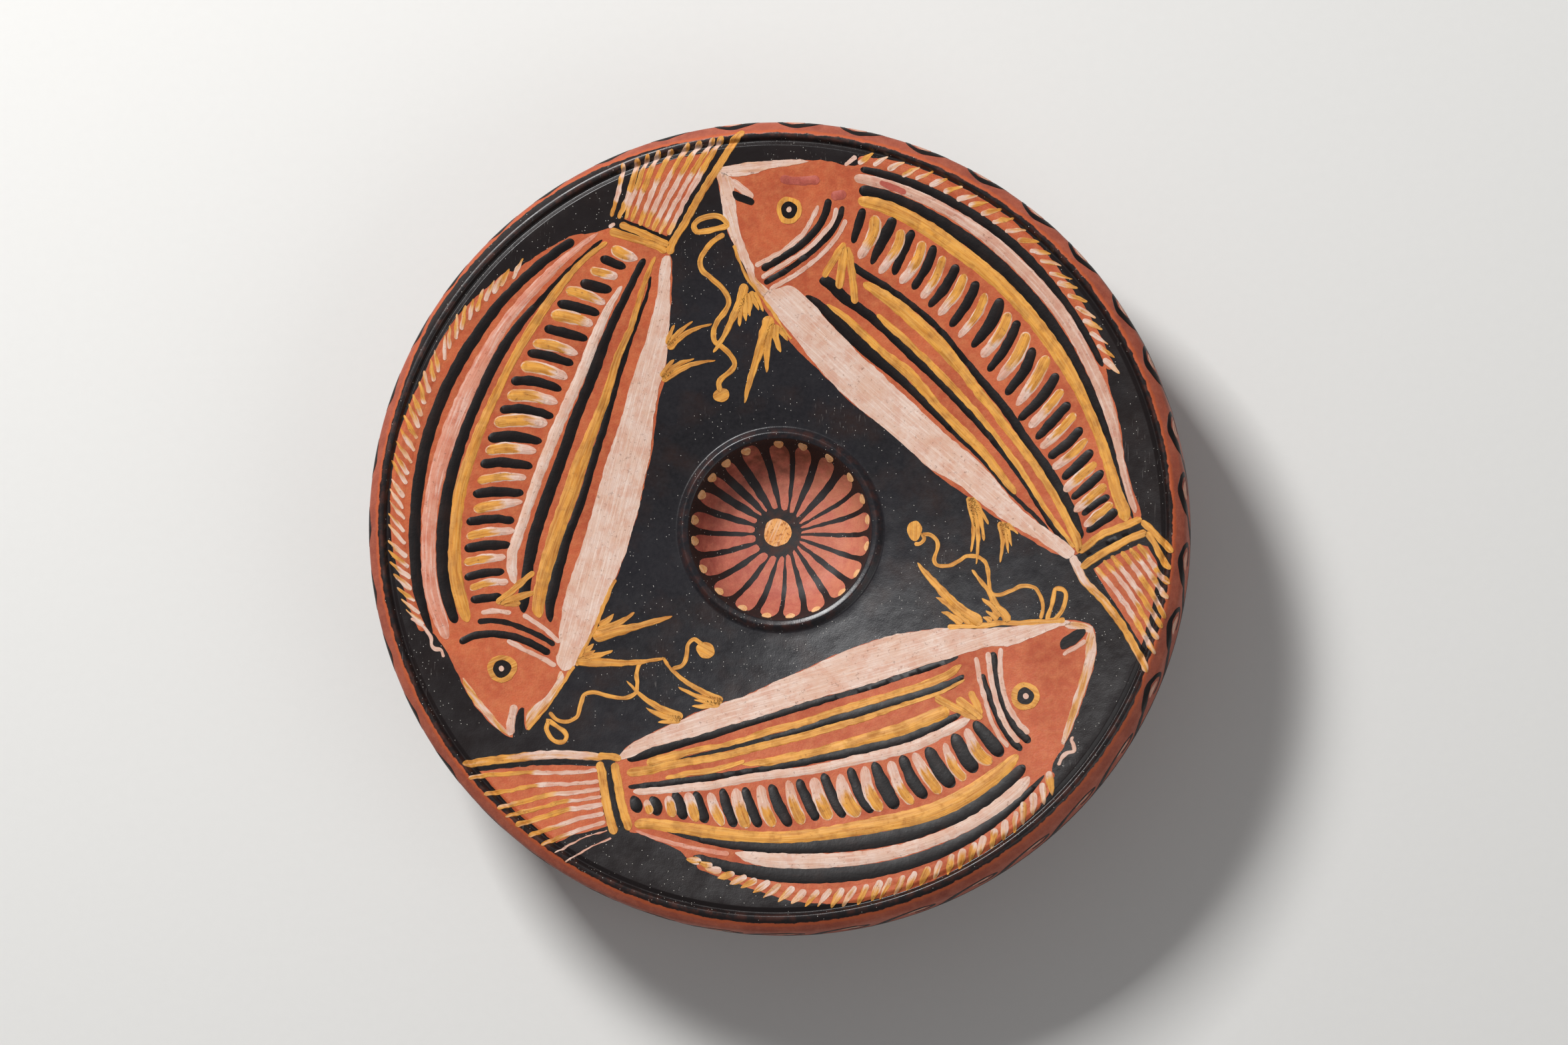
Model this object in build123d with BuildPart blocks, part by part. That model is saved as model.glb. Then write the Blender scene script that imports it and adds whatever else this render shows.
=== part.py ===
from build123d import *
import os
from math import radians, tan

# A red-figured fish plate: a shallow dish on a low foot, thrown in fine clay.
# The floor slopes down to a round well in the middle, and the rim turns over
# and hangs down outside. The dish and the foot were thrown apart and luted
# together with slip, so the dish, the foot and the slip are three solids.
#
# Millimetres. Z is up, the foot stands on Z = 0, and the axis of the plate is
# the Z axis. Every piece is turned on the wheel, so each is one section,
# drawn on the XZ plane with X as the radius, and revolved.

# Overall sizes
plate_radius = 125.0  # widest point of the turned-over rim
plate_height = 58.0  # crest of the ridge that runs round the rim
foot_radius = 52.0  # widest point of the foot

# Well in the middle of the floor
well_radius = 28.2  # at its mouth
well_depth = 14.0  # from the bead's crest to the middle of the well
well_bottom_radius = 21.5  # where the bottom turns up into the wall
well_dishing = 1.2  # rise of the bottom from its middle to that turn
well_curve = 11.0  # radius of that turn
bead_width = 3.6  # raised bead round the mouth
bead_height = 1.1  # crest of the bead over the floor beside it
bead_curve = 0.9

# Floor
floor_slope = 9.5  # degrees, down towards the well
floor_edge_drop = 0.8  # where the floor ends at the groove, below the crest of the ridge
wall_thickness = 5.6  # under the well and at the floor's outer edge

# Ridge and groove inside the rim, as widths from the outside inwards
shoulder_width = 3.7  # from the widest point to the crest of the ridge
ridge_width = 1.4  # flat of the crest
ridge_inner_width = 1.0  # from the crest down to the groove
groove_width = 1.5  # from the groove up to the floor
groove_drop = 1.7  # below the crest of the ridge
groove_curve = 0.5
ridge_inner_curve = 0.6
ridge_outer_curve = 1.2

# Rim, turned over and hanging outside the floor
shoulder_drop = 3.2  # corner of the shoulder below the crest of the ridge
shoulder_curve = 3.4
upright_drop = 15.0  # the wall stands upright down to here, then draws in
upright_curve = 80.0
rim_drop = 24.5  # lower edge of the rim below the crest of the ridge
rim_edge_inset = 0.8  # lower edge inside the widest point
rim_thickness = 5.0
rim_edge_curve = 2.2
rim_root_curve = 3.0  # inside, where the rim leaves the underside of the floor

# Joint between dish and foot
seat_radius = 42.0  # flat ring turned on the underside for the foot
seat_wall = 7.6  # floor above the outer edge of that ring
spigot_wall = 3.2  # between the mouth of the well and the spigot round it, which goes into the foot
spigot_curve = 9.0  # round the bottom of the spigot
slip_thickness = 0.8  # between the seat and the top of the foot
slip_clearance = 1.0  # between the spigot and the bore of the foot
slip_depth = 3.5  # how far the slip runs down the spigot below the seat
slip_fillet = 2.4  # slip wiped round the joint outside

# Foot
stem_wall = 6.1
stem_straight = 12.0  # upright top of the stem, below the joint
stem_waist_height = 13.0
stem_waist_flare = 2.5  # waist outside the upright stem
stem_waist_curve = 12.0
foot_edge_height = 7.6  # top of the foot's rounded edge
foot_edge_inset = 1.6
foot_edge_curve = 1.6
foot_belly_height = 5.2  # the foot is widest from here
foot_belly_depth = 3.0  # down by this much
rest_ring_width = 6.0  # flat ring that the plate stands on
rest_ring_inset = 1.2  # inside the widest point
rest_ring_curve = 0.8
hollow_radius = 36.0  # inside of the foot, half way up
hollow_height = 13.0
hollow_curve = 10.0

# Heights and radii that follow
ridge_outer_radius = plate_radius - shoulder_width
ridge_inner_radius = ridge_outer_radius - ridge_width
groove_radius = ridge_inner_radius - ridge_inner_width
floor_edge_radius = groove_radius - groove_width
floor_edge_height = plate_height - floor_edge_drop
bead_radius = well_radius + bead_width / 2
bead_outer_radius = well_radius + bead_width
floor_drop = (floor_edge_radius - bead_outer_radius) * tan(radians(floor_slope))
floor_low_height = floor_edge_height - floor_drop
bead_crest = floor_low_height + bead_height
well_floor_height = bead_crest - well_depth
seat_height = floor_low_height + (seat_radius - bead_outer_radius) * tan(radians(floor_slope)) - seat_wall
spigot_radius = well_radius + spigot_wall
spigot_bottom = well_floor_height - wall_thickness
rim_edge_radius = plate_radius - rim_edge_inset
rim_edge_height = plate_height - rim_drop
rim_inner_radius = rim_edge_radius - rim_thickness
underside_edge_height = floor_edge_height - wall_thickness
bore_radius = spigot_radius + slip_clearance
stem_radius = bore_radius + stem_wall
foot_top = seat_height - slip_thickness
rest_outer_radius = foot_radius - rest_ring_inset
rest_inner_radius = rest_outer_radius - rest_ring_width

os.makedirs("parts", exist_ok=True)


def turned_outline(corners):
    """Closes a section of (radius, height, corner radius) points in the open BuildLine."""
    FilletPolyline(
        *[(radius, height) for radius, height, _ in corners],
        radius=[curve for _, _, curve in corners],
        close=True,
    )


# Dish: well, sloping floor, ridge and hanging rim, thrown in one piece
with BuildPart() as dish:
    with BuildSketch(Plane.XZ) as dish_section:
        with BuildLine() as dish_outline:
            turned_outline(
                [
                    (0, well_floor_height, 0),
                    (well_bottom_radius, well_floor_height + well_dishing, well_curve),
                    (well_radius, bead_crest, bead_curve),
                    (bead_radius, bead_crest + bead_height / 4, bead_curve),
                    (bead_outer_radius, floor_low_height, bead_curve),
                    (floor_edge_radius, floor_edge_height, groove_curve),
                    (groove_radius, plate_height - groove_drop, groove_curve),
                    (ridge_inner_radius, plate_height, ridge_inner_curve),
                    (ridge_outer_radius, plate_height, ridge_outer_curve),
                    (plate_radius, plate_height - shoulder_drop, shoulder_curve),
                    (plate_radius, plate_height - upright_drop, upright_curve),
                    (rim_edge_radius, rim_edge_height, rim_edge_curve),
                    (rim_inner_radius, rim_edge_height, rim_edge_curve),
                    (rim_inner_radius, underside_edge_height, rim_root_curve),
                    (seat_radius, seat_height, 0),
                    (spigot_radius, seat_height, 0),
                    (spigot_radius, spigot_bottom, spigot_curve),
                    (0, spigot_bottom, 0),
                ]
            )
        make_face()
    revolve(axis=Axis.Z)

# Foot: an open stem that flares to the ring on which the plate stands
with BuildPart() as foot:
    with BuildSketch(Plane.XZ) as foot_section:
        with BuildLine() as foot_outline:
            turned_outline(
                [
                    (bore_radius, foot_top, 0),
                    (stem_radius, foot_top, 0),
                    (stem_radius, foot_top - stem_straight, stem_waist_curve),
                    (stem_radius + stem_waist_flare, stem_waist_height, stem_waist_curve / 2),
                    (foot_radius - foot_edge_inset, foot_edge_height, foot_edge_curve),
                    (foot_radius, foot_belly_height, foot_edge_curve),
                    (foot_radius, foot_belly_height - foot_belly_depth, foot_edge_curve),
                    (rest_outer_radius, 0, rest_ring_curve),
                    (rest_inner_radius, 0, rest_ring_curve),
                    (hollow_radius, hollow_height, hollow_curve),
                    (bore_radius, foot_top - stem_straight, hollow_curve),
                ]
            )
        make_face()
    revolve(axis=Axis.Z)

# Luting slip: fills the joint round the spigot and is wiped smooth outside
with BuildPart() as luting_slip:
    with BuildSketch(Plane.XZ) as slip_section:
        with BuildLine() as slip_outline:
            joint_line = Polyline(
                (stem_radius, seat_height - slip_fillet),
                (stem_radius, foot_top),
                (bore_radius, foot_top),
                (bore_radius, seat_height - slip_depth),
                (spigot_radius, seat_height - slip_depth),
                (spigot_radius, seat_height),
                (stem_radius + slip_fillet, seat_height),
            )
            RadiusArc(joint_line @ 1, joint_line @ 0, slip_fillet)
        make_face()
    revolve(axis=Axis.Z)

dish.part.label = "dish"
foot.part.label = "foot"
luting_slip.part.label = "luting_slip"

for piece in (dish, foot, luting_slip):
    export_step(piece.part, f"parts/{piece.part.label}.step")
    box = piece.part.bounding_box()
    print(piece.part.label, "volume", round(piece.part.volume), "size", box.size, "low", box.min)
print("floor at the well", round(floor_low_height, 2), "well bottom", round(well_floor_height, 2))
print("spigot bottom", round(spigot_bottom, 2), "rest ring", rest_inner_radius, rest_outer_radius)
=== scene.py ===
import math
import random

import bmesh
import bpy
from mathutils import Matrix, Vector, noise
from mathutils.geometry import delaunay_2d_cdt


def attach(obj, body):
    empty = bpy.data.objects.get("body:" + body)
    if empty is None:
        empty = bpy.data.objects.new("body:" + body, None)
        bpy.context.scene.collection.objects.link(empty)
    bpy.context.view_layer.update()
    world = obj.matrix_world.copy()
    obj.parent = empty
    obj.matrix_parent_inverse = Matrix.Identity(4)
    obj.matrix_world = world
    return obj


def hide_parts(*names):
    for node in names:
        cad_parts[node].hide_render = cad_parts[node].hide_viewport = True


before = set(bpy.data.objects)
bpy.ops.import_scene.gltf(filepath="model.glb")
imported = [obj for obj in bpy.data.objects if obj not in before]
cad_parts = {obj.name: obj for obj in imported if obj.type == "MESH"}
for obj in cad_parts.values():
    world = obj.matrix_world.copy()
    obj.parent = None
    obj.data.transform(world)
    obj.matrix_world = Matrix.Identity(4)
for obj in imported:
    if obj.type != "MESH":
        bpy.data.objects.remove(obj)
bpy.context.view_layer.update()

# A red-figured fish plate. The dish is turned again here with its warp and its
# worn gloss, and the painting lies on it as brush strokes and filled fields
# that stand a tenth of a millimetre proud, as slip and added colours do.
#
# Places on the dish are (turn, reach): degrees counter-clockwise from +X, seen
# from above, and millimetres from the axis. Past the crest of the ridge, reach
# goes on along the section, over the shoulder and down the wall.

MM = 0.001
OVAL = 0.009  # the fired plate is wider by this share along one line
OVAL_TURN = -25.0  # direction of that line, degrees
FLOOR_WOBBLE = 0.09  # mm, left by the potter's fingers
FLOOR_WOBBLE_SIZE = 34.0  # mm from one swell to the next
CREST = 120.6  # reach at the crest of the ridge
DISH_FACETS = 480

# Section of the dish as (radius, height, corner curve), from the middle of the
# well outwards over the rim, and back under the floor to the axis
DISH_SECTION = [
    (0, 29.98, 0),
    (21.5, 31.18, 11),
    (28.2, 44.0, 0.8),
    (30, 44.55, 0.8),
    (31.8, 42.88, 0.9),
    (117.4, 57.2, 0.5),
    (118.9, 56.3, 0.5),
    (119.9, 58, 0.6),
    (121.3, 58, 1.2),
    (125, 54.8, 3.4),
    (125, 43, 80),
    (124.2, 33.5, 2.2),
    (119.2, 33.5, 2.2),
    (119.2, 51.6, 3),
    (42, 36.98, 0),
    (31.4, 36.98, 0),
    (31.4, 24.38, 9),
    (0, 24.38, 0),
]


def rounded(corners, curve_step=0.3, run_step=2.0):
    """Rounds the corners of a section and divides its runs."""
    bends = []
    for index, (x, y, curve) in enumerate(corners):
        corner = Vector((x, y))
        if curve == 0:
            bends.append([corner])
            continue
        back = (Vector(corners[index - 1][:2]) - corner).normalized()
        onward = (Vector(corners[index + 1][:2]) - corner).normalized()
        half = back.angle(onward) / 2
        middle = corner + (back + onward).normalized() * curve / math.sin(half)
        first = corner + back * curve / math.tan(half) - middle
        last = corner + onward * curve / math.tan(half) - middle
        start = math.atan2(first.y, first.x)
        sweep = (math.atan2(last.y, last.x) - start + math.pi) % (2 * math.pi) - math.pi
        steps = max(3, min(12, math.ceil(abs(sweep) * curve / curve_step)))
        arc = []
        for step in range(steps + 1):
            angle = start + sweep * step / steps
            arc.append(middle + curve * Vector((math.cos(angle), math.sin(angle))))
        bends.append(arc)
    points = [bends[0][0]]
    for bend in bends[1:]:
        start = points[-1]
        run = bend[0] - start
        pieces = max(1, math.ceil(run.length / run_step))
        for piece in range(1, pieces + 1):
            points.append(start + run * piece / pieces)
        points.extend(bend[1:])
    return points


dish_line = rounded(DISH_SECTION)
reaches = []
for index, point in enumerate(dish_line):
    if point.x <= CREST and point.y >= 29 and (not reaches or reaches[-1] < CREST):
        reaches.append(point.x)
    else:
        reaches.append(reaches[-1] + (point - dish_line[index - 1]).length)
PAINTED_POINTS = sum(1 for reach in reaches if reach < 160)


def between(value, places, values):
    """Reads a value off a line of rising places, held level past its ends."""
    if value <= places[0]:
        return values[0]
    for index in range(1, len(places)):
        if value <= places[index]:
            share = (value - places[index - 1]) / (places[index] - places[index - 1])
            return values[index - 1] + share * (values[index] - values[index - 1])
    return values[-1]


def smooth(low, high, value):
    """Rises smoothly from 0 at low to 1 at high."""
    share = min(1.0, max(0.0, (value - low) / (high - low)))
    return share * share * (3 - 2 * share)


def warped(radius, height, turn, upper=1.0):
    """A place on the turned section, with the plate's oval and its finger wobble."""
    angle = math.radians(turn)
    wide = radius * (1 + OVAL * math.cos(2 * (angle - math.radians(OVAL_TURN))))
    x = wide * math.cos(angle)
    y = wide * math.sin(angle)
    swell = noise.noise(Vector((x, y, 7.0)) / FLOOR_WOBBLE_SIZE)
    share = upper * smooth(32, 46, radius) * (1 - smooth(112, 117, radius))
    return Vector((x, y, height + FLOOR_WOBBLE * share * swell)) * MM


section_reach = reaches[:PAINTED_POINTS]
section_place = dish_line[:PAINTED_POINTS]


def place(turn, reach, lift):
    """The point that lies lift mm over the dish at (turn, reach)."""
    index = 1
    low = 1
    high = len(section_reach) - 1
    while low < high:
        index = (low + high) // 2
        if section_reach[index] < reach:
            low = index + 1
        else:
            high = index
    index = low
    run = section_place[index] - section_place[index - 1]
    length = section_reach[index] - section_reach[index - 1]
    share = min(1.0, max(0.0, (reach - section_reach[index - 1]) / length))
    spot = section_place[index - 1] + run * share
    out = Vector((-run.y, run.x)).normalized()
    spot = spot + out * lift
    return warped(spot.x, spot.y, turn)


class Paint:
    """Strokes and fields of one colour, gathered into one mesh."""

    def __init__(self, lift, rag=0.12, seed=1):
        self.lift = lift  # mm over the dish
        self.rag = rag  # mm that an edge wanders
        self.seed = seed
        self.strokes = 0
        self.points = []
        self.faces = []
        self.flow = []  # mm along and across each stroke, for the materials
        self.gold = []  # -1 where the white is sheer, 0 where it is full, 1 where it is yellow

    def add(self, point, flow, gold):
        self.points.append(point)
        self.flow.append(flow)
        self.gold.append(gold)
        return len(self.points) - 1

    def next_seed(self):
        self.strokes += 1
        return self.seed * 37.1 + self.strokes * 5.3


def metric(a, b):
    """Millimetres between two places on the dish."""
    level = min(125.0, (a[1] + b[1]) / 2)
    return math.hypot(math.radians(b[0] - a[0]) * level, b[1] - a[1])


def flowing(path, step, closed=False, fine_ends=0.0):
    """Puts a smooth line through the stations of a path and samples it."""
    count = len(path)
    if closed:
        lap = 360 if abs(path[-1][0] - path[0][0]) > 180 else 0
        path = [*path, (path[0][0] + lap, *path[0][1:])]
    spans = [metric(path[i], path[i + 1]) for i in range(len(path) - 1)]
    travel = [0.0]
    for span in spans:
        travel.append(travel[-1] + max(span, 1e-4))
    total = travel[-1]

    def slope(i):
        if closed and i in (0, count):
            width = spans[0] + spans[-1]
            rise = [path[1][k] - path[0][k] + path[-1][k] - path[-2][k] for k in range(len(path[0]))]
            return [part / width for part in rise]
        before, after = max(0, i - 1), min(len(path) - 1, i + 1)
        width = travel[after] - travel[before]
        return [(path[after][k] - path[before][k]) / width for k in range(len(path[0]))]

    slopes = [slope(i) for i in range(len(path))]
    marks = []
    if fine_ends > 0 and not closed:
        fine_ends = min(fine_ends, total * 0.45)
        for part in (0, 0.03, 0.12, 0.3, 0.6):
            marks.append(fine_ends * part)
    inner = max(1, math.ceil((total - 2 * fine_ends) / step))
    for k in range(inner + (0 if closed else 1)):
        marks.append(fine_ends + (total - 2 * fine_ends) * k / inner)
    if fine_ends > 0 and not closed:
        for part in (0.6, 0.3, 0.12, 0.03, 0):
            marks.append(total - fine_ends * part)
    samples = []
    index = 0
    for mark in marks:
        while index < len(spans) - 1 and mark > travel[index + 1]:
            index += 1
        span = travel[index + 1] - travel[index]
        t = min(1.0, max(0.0, (mark - travel[index]) / span))
        start, end = path[index], path[index + 1]
        leave, arrive = slopes[index], slopes[index + 1]
        h = (2 * t**3 - 3 * t**2 + 1, t**3 - 2 * t**2 + t, -2 * t**3 + 3 * t**2, t**3 - t**2)
        values = [
            h[0] * start[k] + h[1] * span * leave[k] + h[2] * end[k] + h[3] * span * arrive[k]
            for k in range(len(start))
        ]
        samples.append((values, mark))
    return samples, total


STROKE_SINK = 0.07  # mm, the edges of a stroke dip this far into the dish
# Across a stroke's top, as shares of its half width: few on the flat floor, and
# more where it lies over the ridge and shoulder
FLAT_TOP = (-0.9, 0.9)
BENT_TOP = (-0.9, -0.6, -0.3, 0, 0.3, 0.6, 0.9)


def brush(paint, path, width=None, gold=None, tint=0.0, lift=None, closed=False, blunt=0.55):
    """Lays one brush stroke along stations of turn, reach and, if given, width and tint.

    tint runs from -1, sheer white, over 0, full white, to 1, yellow, and gold is
    the reach past which the colour turns yellow anyway.
    """
    stations = []
    for turn, reach, *rest in path:
        wide = rest[0] if rest else width
        stations.append((turn, reach, wide, rest[1] if len(rest) > 1 else tint))
    lift = paint.lift if lift is None else lift
    seed = paint.next_seed()
    widest = max(station[2] for station in stations)
    rim = any(station[1] > 116 for station in stations)
    step = 0.4 if rim else min(1.1, max(0.5, widest * 0.45))
    samples, total = flowing(stations, step, closed, 0 if closed else widest * blunt)
    tops = BENT_TOP if rim else FLAT_TOP
    section = [(-1.1, -STROKE_SINK), *((across, lift) for across in tops), (1.1, -STROKE_SINK)]
    if rim:
        section += [(-across, -STROKE_SINK - 0.05) for across in tops[1:-1]]
    else:
        section.append((0, -STROKE_SINK - 0.04))
    sides = len(section)
    rings = []
    for index, (values, mark) in enumerate(samples):
        turn, reach, wide, shade = values
        before = samples[index - 1][0] if closed or index > 0 else values
        after = samples[(index + 1) % len(samples)][0] if closed or index < len(samples) - 1 else values
        level = min(125.0, max(reach, 1.0))
        gone = (after[0] - before[0] + 180) % 360 - 180
        ahead = Vector((math.radians(gone) * level, after[1] - before[1]))
        if ahead.length < 1e-6:
            ahead = Vector((1, 0))
        ahead.normalize()
        side = Vector((-ahead.y, ahead.x))
        end = 1.0
        if not closed:
            near = min(mark, total - mark) / (widest * blunt)
            end = math.sqrt(max(0.0, 1 - (1 - min(1.0, near)) ** 2)) if near < 1 else 1.0
        half = max(0.02, wide) / 2 * end
        wander = [
            paint.rag * noise.noise(Vector((mark / 2.3, seed, k * 9.0))) * end for k in (1, 2)
        ]
        if gold is not None:
            shade += (1 - shade) * smooth(gold - 2.4, gold + 2.4, reach)
        ring = []
        for across, height in section:
            shift = across * (half + wander[0 if across < 0 else 1])
            spot = place(turn + math.degrees(side.x * shift / level), reach + side.y * shift, height)
            ring.append(paint.add(spot, (mark + seed * 3, shift + seed), shade))
        rings.append(ring)
    count = len(rings)
    for index in range(count if closed else count - 1):
        here, there = rings[index], rings[(index + 1) % count]
        for k in range(sides):
            other = (k + 1) % sides
            paint.faces.append((here[k], there[k], there[other], here[other]))
    if not closed:
        paint.faces.append(tuple(rings[0]))
        paint.faces.append(tuple(reversed(rings[-1])))


def flat(turn, reach):
    """A place on the floor as seen straight from above, mm."""
    angle = math.radians(turn)
    return Vector((reach * math.cos(angle), reach * math.sin(angle)))


def inside(point, outline):
    """True if a flat point lies within a closed outline."""
    hit = False
    for index in range(len(outline)):
        a, b = outline[index - 1], outline[index]
        if (a.y > point.y) != (b.y > point.y):
            if point.x < (b.x - a.x) * (point.y - a.y) / (b.y - a.y) + a.x:
                hit = not hit
    return hit


def field(paint, outline, lift=None, step=1.2, grid=2.6, curved=True, tint=0.0):
    """Fills a closed outline of (turn, reach) points with one coat of colour."""
    lift = paint.lift if lift is None else lift
    seed = paint.next_seed()
    if curved:
        samples, _ = flowing([tuple(p) for p in outline], step, closed=True)
        edge_places = [values for values, _ in samples]
    else:
        edge_places = []
        for index in range(len(outline)):
            start, end = flat(*outline[index]), flat(*outline[(index + 1) % len(outline)])
            pieces = max(1, math.ceil((end - start).length / step))
            for piece in range(pieces):
                spot = start.lerp(end, piece / pieces)
                edge_places.append((math.degrees(math.atan2(spot.y, spot.x)), spot.length))
    edge = []
    for turn, reach in edge_places:
        spot = flat(turn, reach)
        edge.append(spot + paint.rag * noise.noise_vector(Vector((*(spot / 2.1), seed))).xy)
    # brush marks run the long way of the field
    middle = sum(edge, Vector((0, 0))) / len(edge)
    arms = [spot - middle for spot in edge]
    skew = sum(arm.x * arm.y for arm in arms)
    lean = math.atan2(2 * skew, sum(arm.x**2 - arm.y**2 for arm in arms)) / 2
    grain = Vector((math.cos(lean), math.sin(lean)))
    low = Vector((min(p.x for p in edge), min(p.y for p in edge)))
    high = Vector((max(p.x for p in edge), max(p.y for p in edge)))
    spots = list(edge)
    candidates = []
    row = 0
    y = low.y + grid / 2
    while y < high.y:
        x = low.x + (grid / 2 if row % 2 else 0)
        while x < high.x:
            if math.hypot(x, y) < 115.8:
                candidates.append((Vector((x, y)), grid * 0.4))
            x += grid
        candidates.append(None)
        y += grid * 0.87
        row += 1
    # close rows keep it down on the floor's rounded edge and in the groove
    for reach in (116.2, 116.6, 116.9, 117.1, 117.3, 117.5, 117.7, 117.9, 118.2, 118.5):
        candidates += [(flat(turn * 0.6, reach), 0.15) for turn in range(600)]
        candidates.append(None)
    count = len(edge)
    lines = [(index, (index + 1) % count) for index in range(count)]
    last = None
    for candidate in candidates:
        before, last = last, None
        if candidate is None:
            continue
        spot, clear = candidate
        if not (low.x < spot.x < high.x and low.y < spot.y < high.y) or not inside(spot, edge):
            continue
        if min((spot - other).length_squared for other in edge) > clear * clear:
            last = len(spots)
            spots.append(spot)
            if before is not None and clear < 0.2:
                lines.append((before, last))
    laid, _, made, _, _, _ = delaunay_2d_cdt(spots, lines, [], 1, 1e-5)
    laid = [Vector(p) for p in laid]
    kept = []
    for face in made:
        middle = sum((laid[i] for i in face), Vector((0, 0))) / len(face)
        if inside(middle, edge):
            a, b, c = (laid[i] for i in face[:3])
            turned = (b - a).cross(c - a)
            kept.append(tuple(face) if turned > 0 else tuple(reversed(face)))
    tops, bottoms = [], []
    for spot in laid:
        turn = math.degrees(math.atan2(spot.y, spot.x))
        reach = spot.length
        flow = (spot.dot(grain) + seed * 3, spot.dot(grain.orthogonal()) + seed)
        tops.append(paint.add(place(turn, reach, lift), flow, tint))
        bottoms.append(paint.add(place(turn, reach, -STROKE_SINK), flow, tint))
    used = {}
    for face in kept:
        paint.faces.append(tuple(tops[i] for i in face))
        paint.faces.append(tuple(bottoms[i] for i in reversed(face)))
        for index in range(len(face)):
            pair = (face[index], face[(index + 1) % len(face)])
            used[pair] = True
    for a, b in used:
        if (b, a) not in used:
            paint.faces.append((tops[b], tops[a], bottoms[a], bottoms[b]))


def disc(paint, centre, across, tall, lift=None):
    """Fills a small oval spot, across along the turn and tall along the reach, mm."""
    turn, reach = centre
    outward = flat(turn, 1.0)
    along = Vector((-outward.y, outward.x))
    count = 14 if max(across, tall) < 4 else 26
    outline = []
    for index in range(count):
        angle = 2 * math.pi * index / count
        uneven = 1 + 0.03 * math.sin(angle * 3 + turn)
        spot = flat(turn, reach) + along * across / 2 * math.cos(angle) * uneven
        spot += outward * tall / 2 * math.sin(angle) * uneven
        outline.append((math.degrees(math.atan2(spot.y, spot.x)), spot.length))
    field(paint, outline, lift=lift, step=2.0, grid=1.2, curved=False)


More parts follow.
